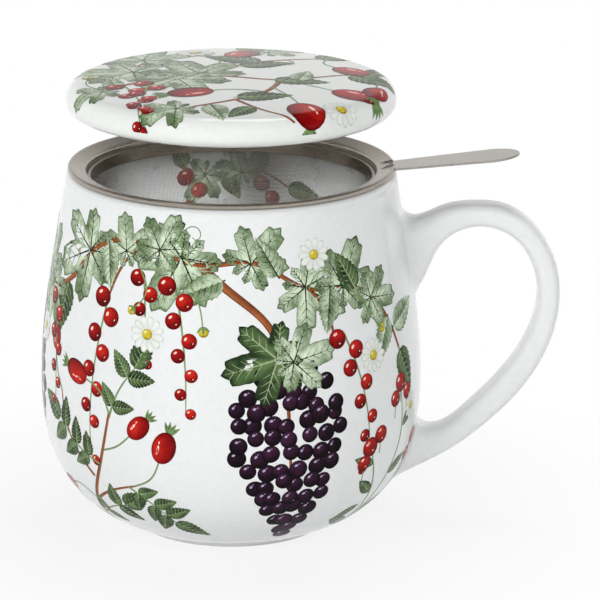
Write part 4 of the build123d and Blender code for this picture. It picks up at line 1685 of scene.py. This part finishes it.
def soft_lamp(name, place, aim, size, power, in_gloss=True):
    lamp = bpy.data.lights.new(name, "AREA")
    lamp.shape = "RECTANGLE"
    lamp.size, lamp.size_y = size
    lamp.energy = power
    item = linked(name, lamp)
    item.location = place
    item.rotation_euler = (Vector(aim) - Vector(place)).to_track_quat("-Z", "Y").to_euler()
    item.visible_glossy = in_gloss
    return item


# Each lamp's name, its turn round the mug from the front, its rise above the rim and its power.
RIM_LAMPS = [("low_front", 0, 21, 5.0), ("low_left", -44, 17, 10.0), ("low_right", 42, 20, 5.5),
             ("low_back_left", -130, 16, 6.5), ("low_back_right", 130, 16, 6.5)]


def low_lamp(name, turn, rise, power):
    """A lamp that shines through the gap under the lid."""
    away, rim = 1.55, 0.09
    turn, rise = math.radians(turn), math.radians(rise)
    level = away * math.cos(rise)
    place = (level * math.sin(turn), -level * math.cos(turn), rim + away * math.sin(rise))
    soft_lamp(name, place, (0, 0, rim), (1.0, 0.28), power, in_gloss=False)


CAMERA_RISE = 16.634  # degrees above the mug's middle
CAMERA_DISTANCE = 0.9756
CAMERA_MIDDLE = 0.04878
CAMERA_LENS = 236.47
SENSOR_WIDTH = 36.0
LENS_PIXELS = 3941.2  # the lens's length in pixels of a picture 600 wide
AIM_PIXELS = (68.5, 28.55)  # how far the aim lies to the right of the mug's middle, and above it


def build_camera():
    tilt = math.radians(CAMERA_RISE)
    away = np.array([0, -math.cos(tilt), math.sin(tilt)])
    up = np.array([0, math.sin(tilt), math.cos(tilt)])
    right, over = np.array(AIM_PIXELS) / LENS_PIXELS
    aim = unit(-away + np.array([right, 0, 0]) + up * over)
    side = unit(np.cross(aim, up))
    camera = bpy.data.cameras.new("camera")
    camera.lens, camera.sensor_width, camera.sensor_fit = CAMERA_LENS, SENSOR_WIDTH, "HORIZONTAL"
    item = linked("camera", camera)
    turn = Matrix(np.c_[side, np.cross(side, aim), -aim].tolist()).to_4x4()
    place = away * CAMERA_DISTANCE + np.array([0, 0, CAMERA_MIDDLE])
    item.matrix_world = Matrix.Translation(place.tolist()) @ turn
    bpy.context.scene.camera = item


dress()
build_floor()
build_world(level=0.22, overhead=0.12)
soft_lamp("key", (-0.75, -0.75, 1.05), (0, 0, 0.05), (0.3, 0.3), 1.0)
soft_lamp("top", (0.1, 0.25, 1.3), (0, 0, 0.05), (0.6, 0.4), 3.0)
# A small lamp hangs inside the strainer and goes up with it.
inner_fill = soft_lamp("inner_fill", (0, 0, 0.084), (0, 0, 0), (0.03, 0.03), 0.06, in_gloss=False)
inner_fill.parent = bpy.data.objects["clamp_band"]
for name, turn, rise, power in RIM_LAMPS:
    low_lamp(name, turn, rise, power)
build_camera()
bpy.context.scene.view_settings.view_transform = "Standard"
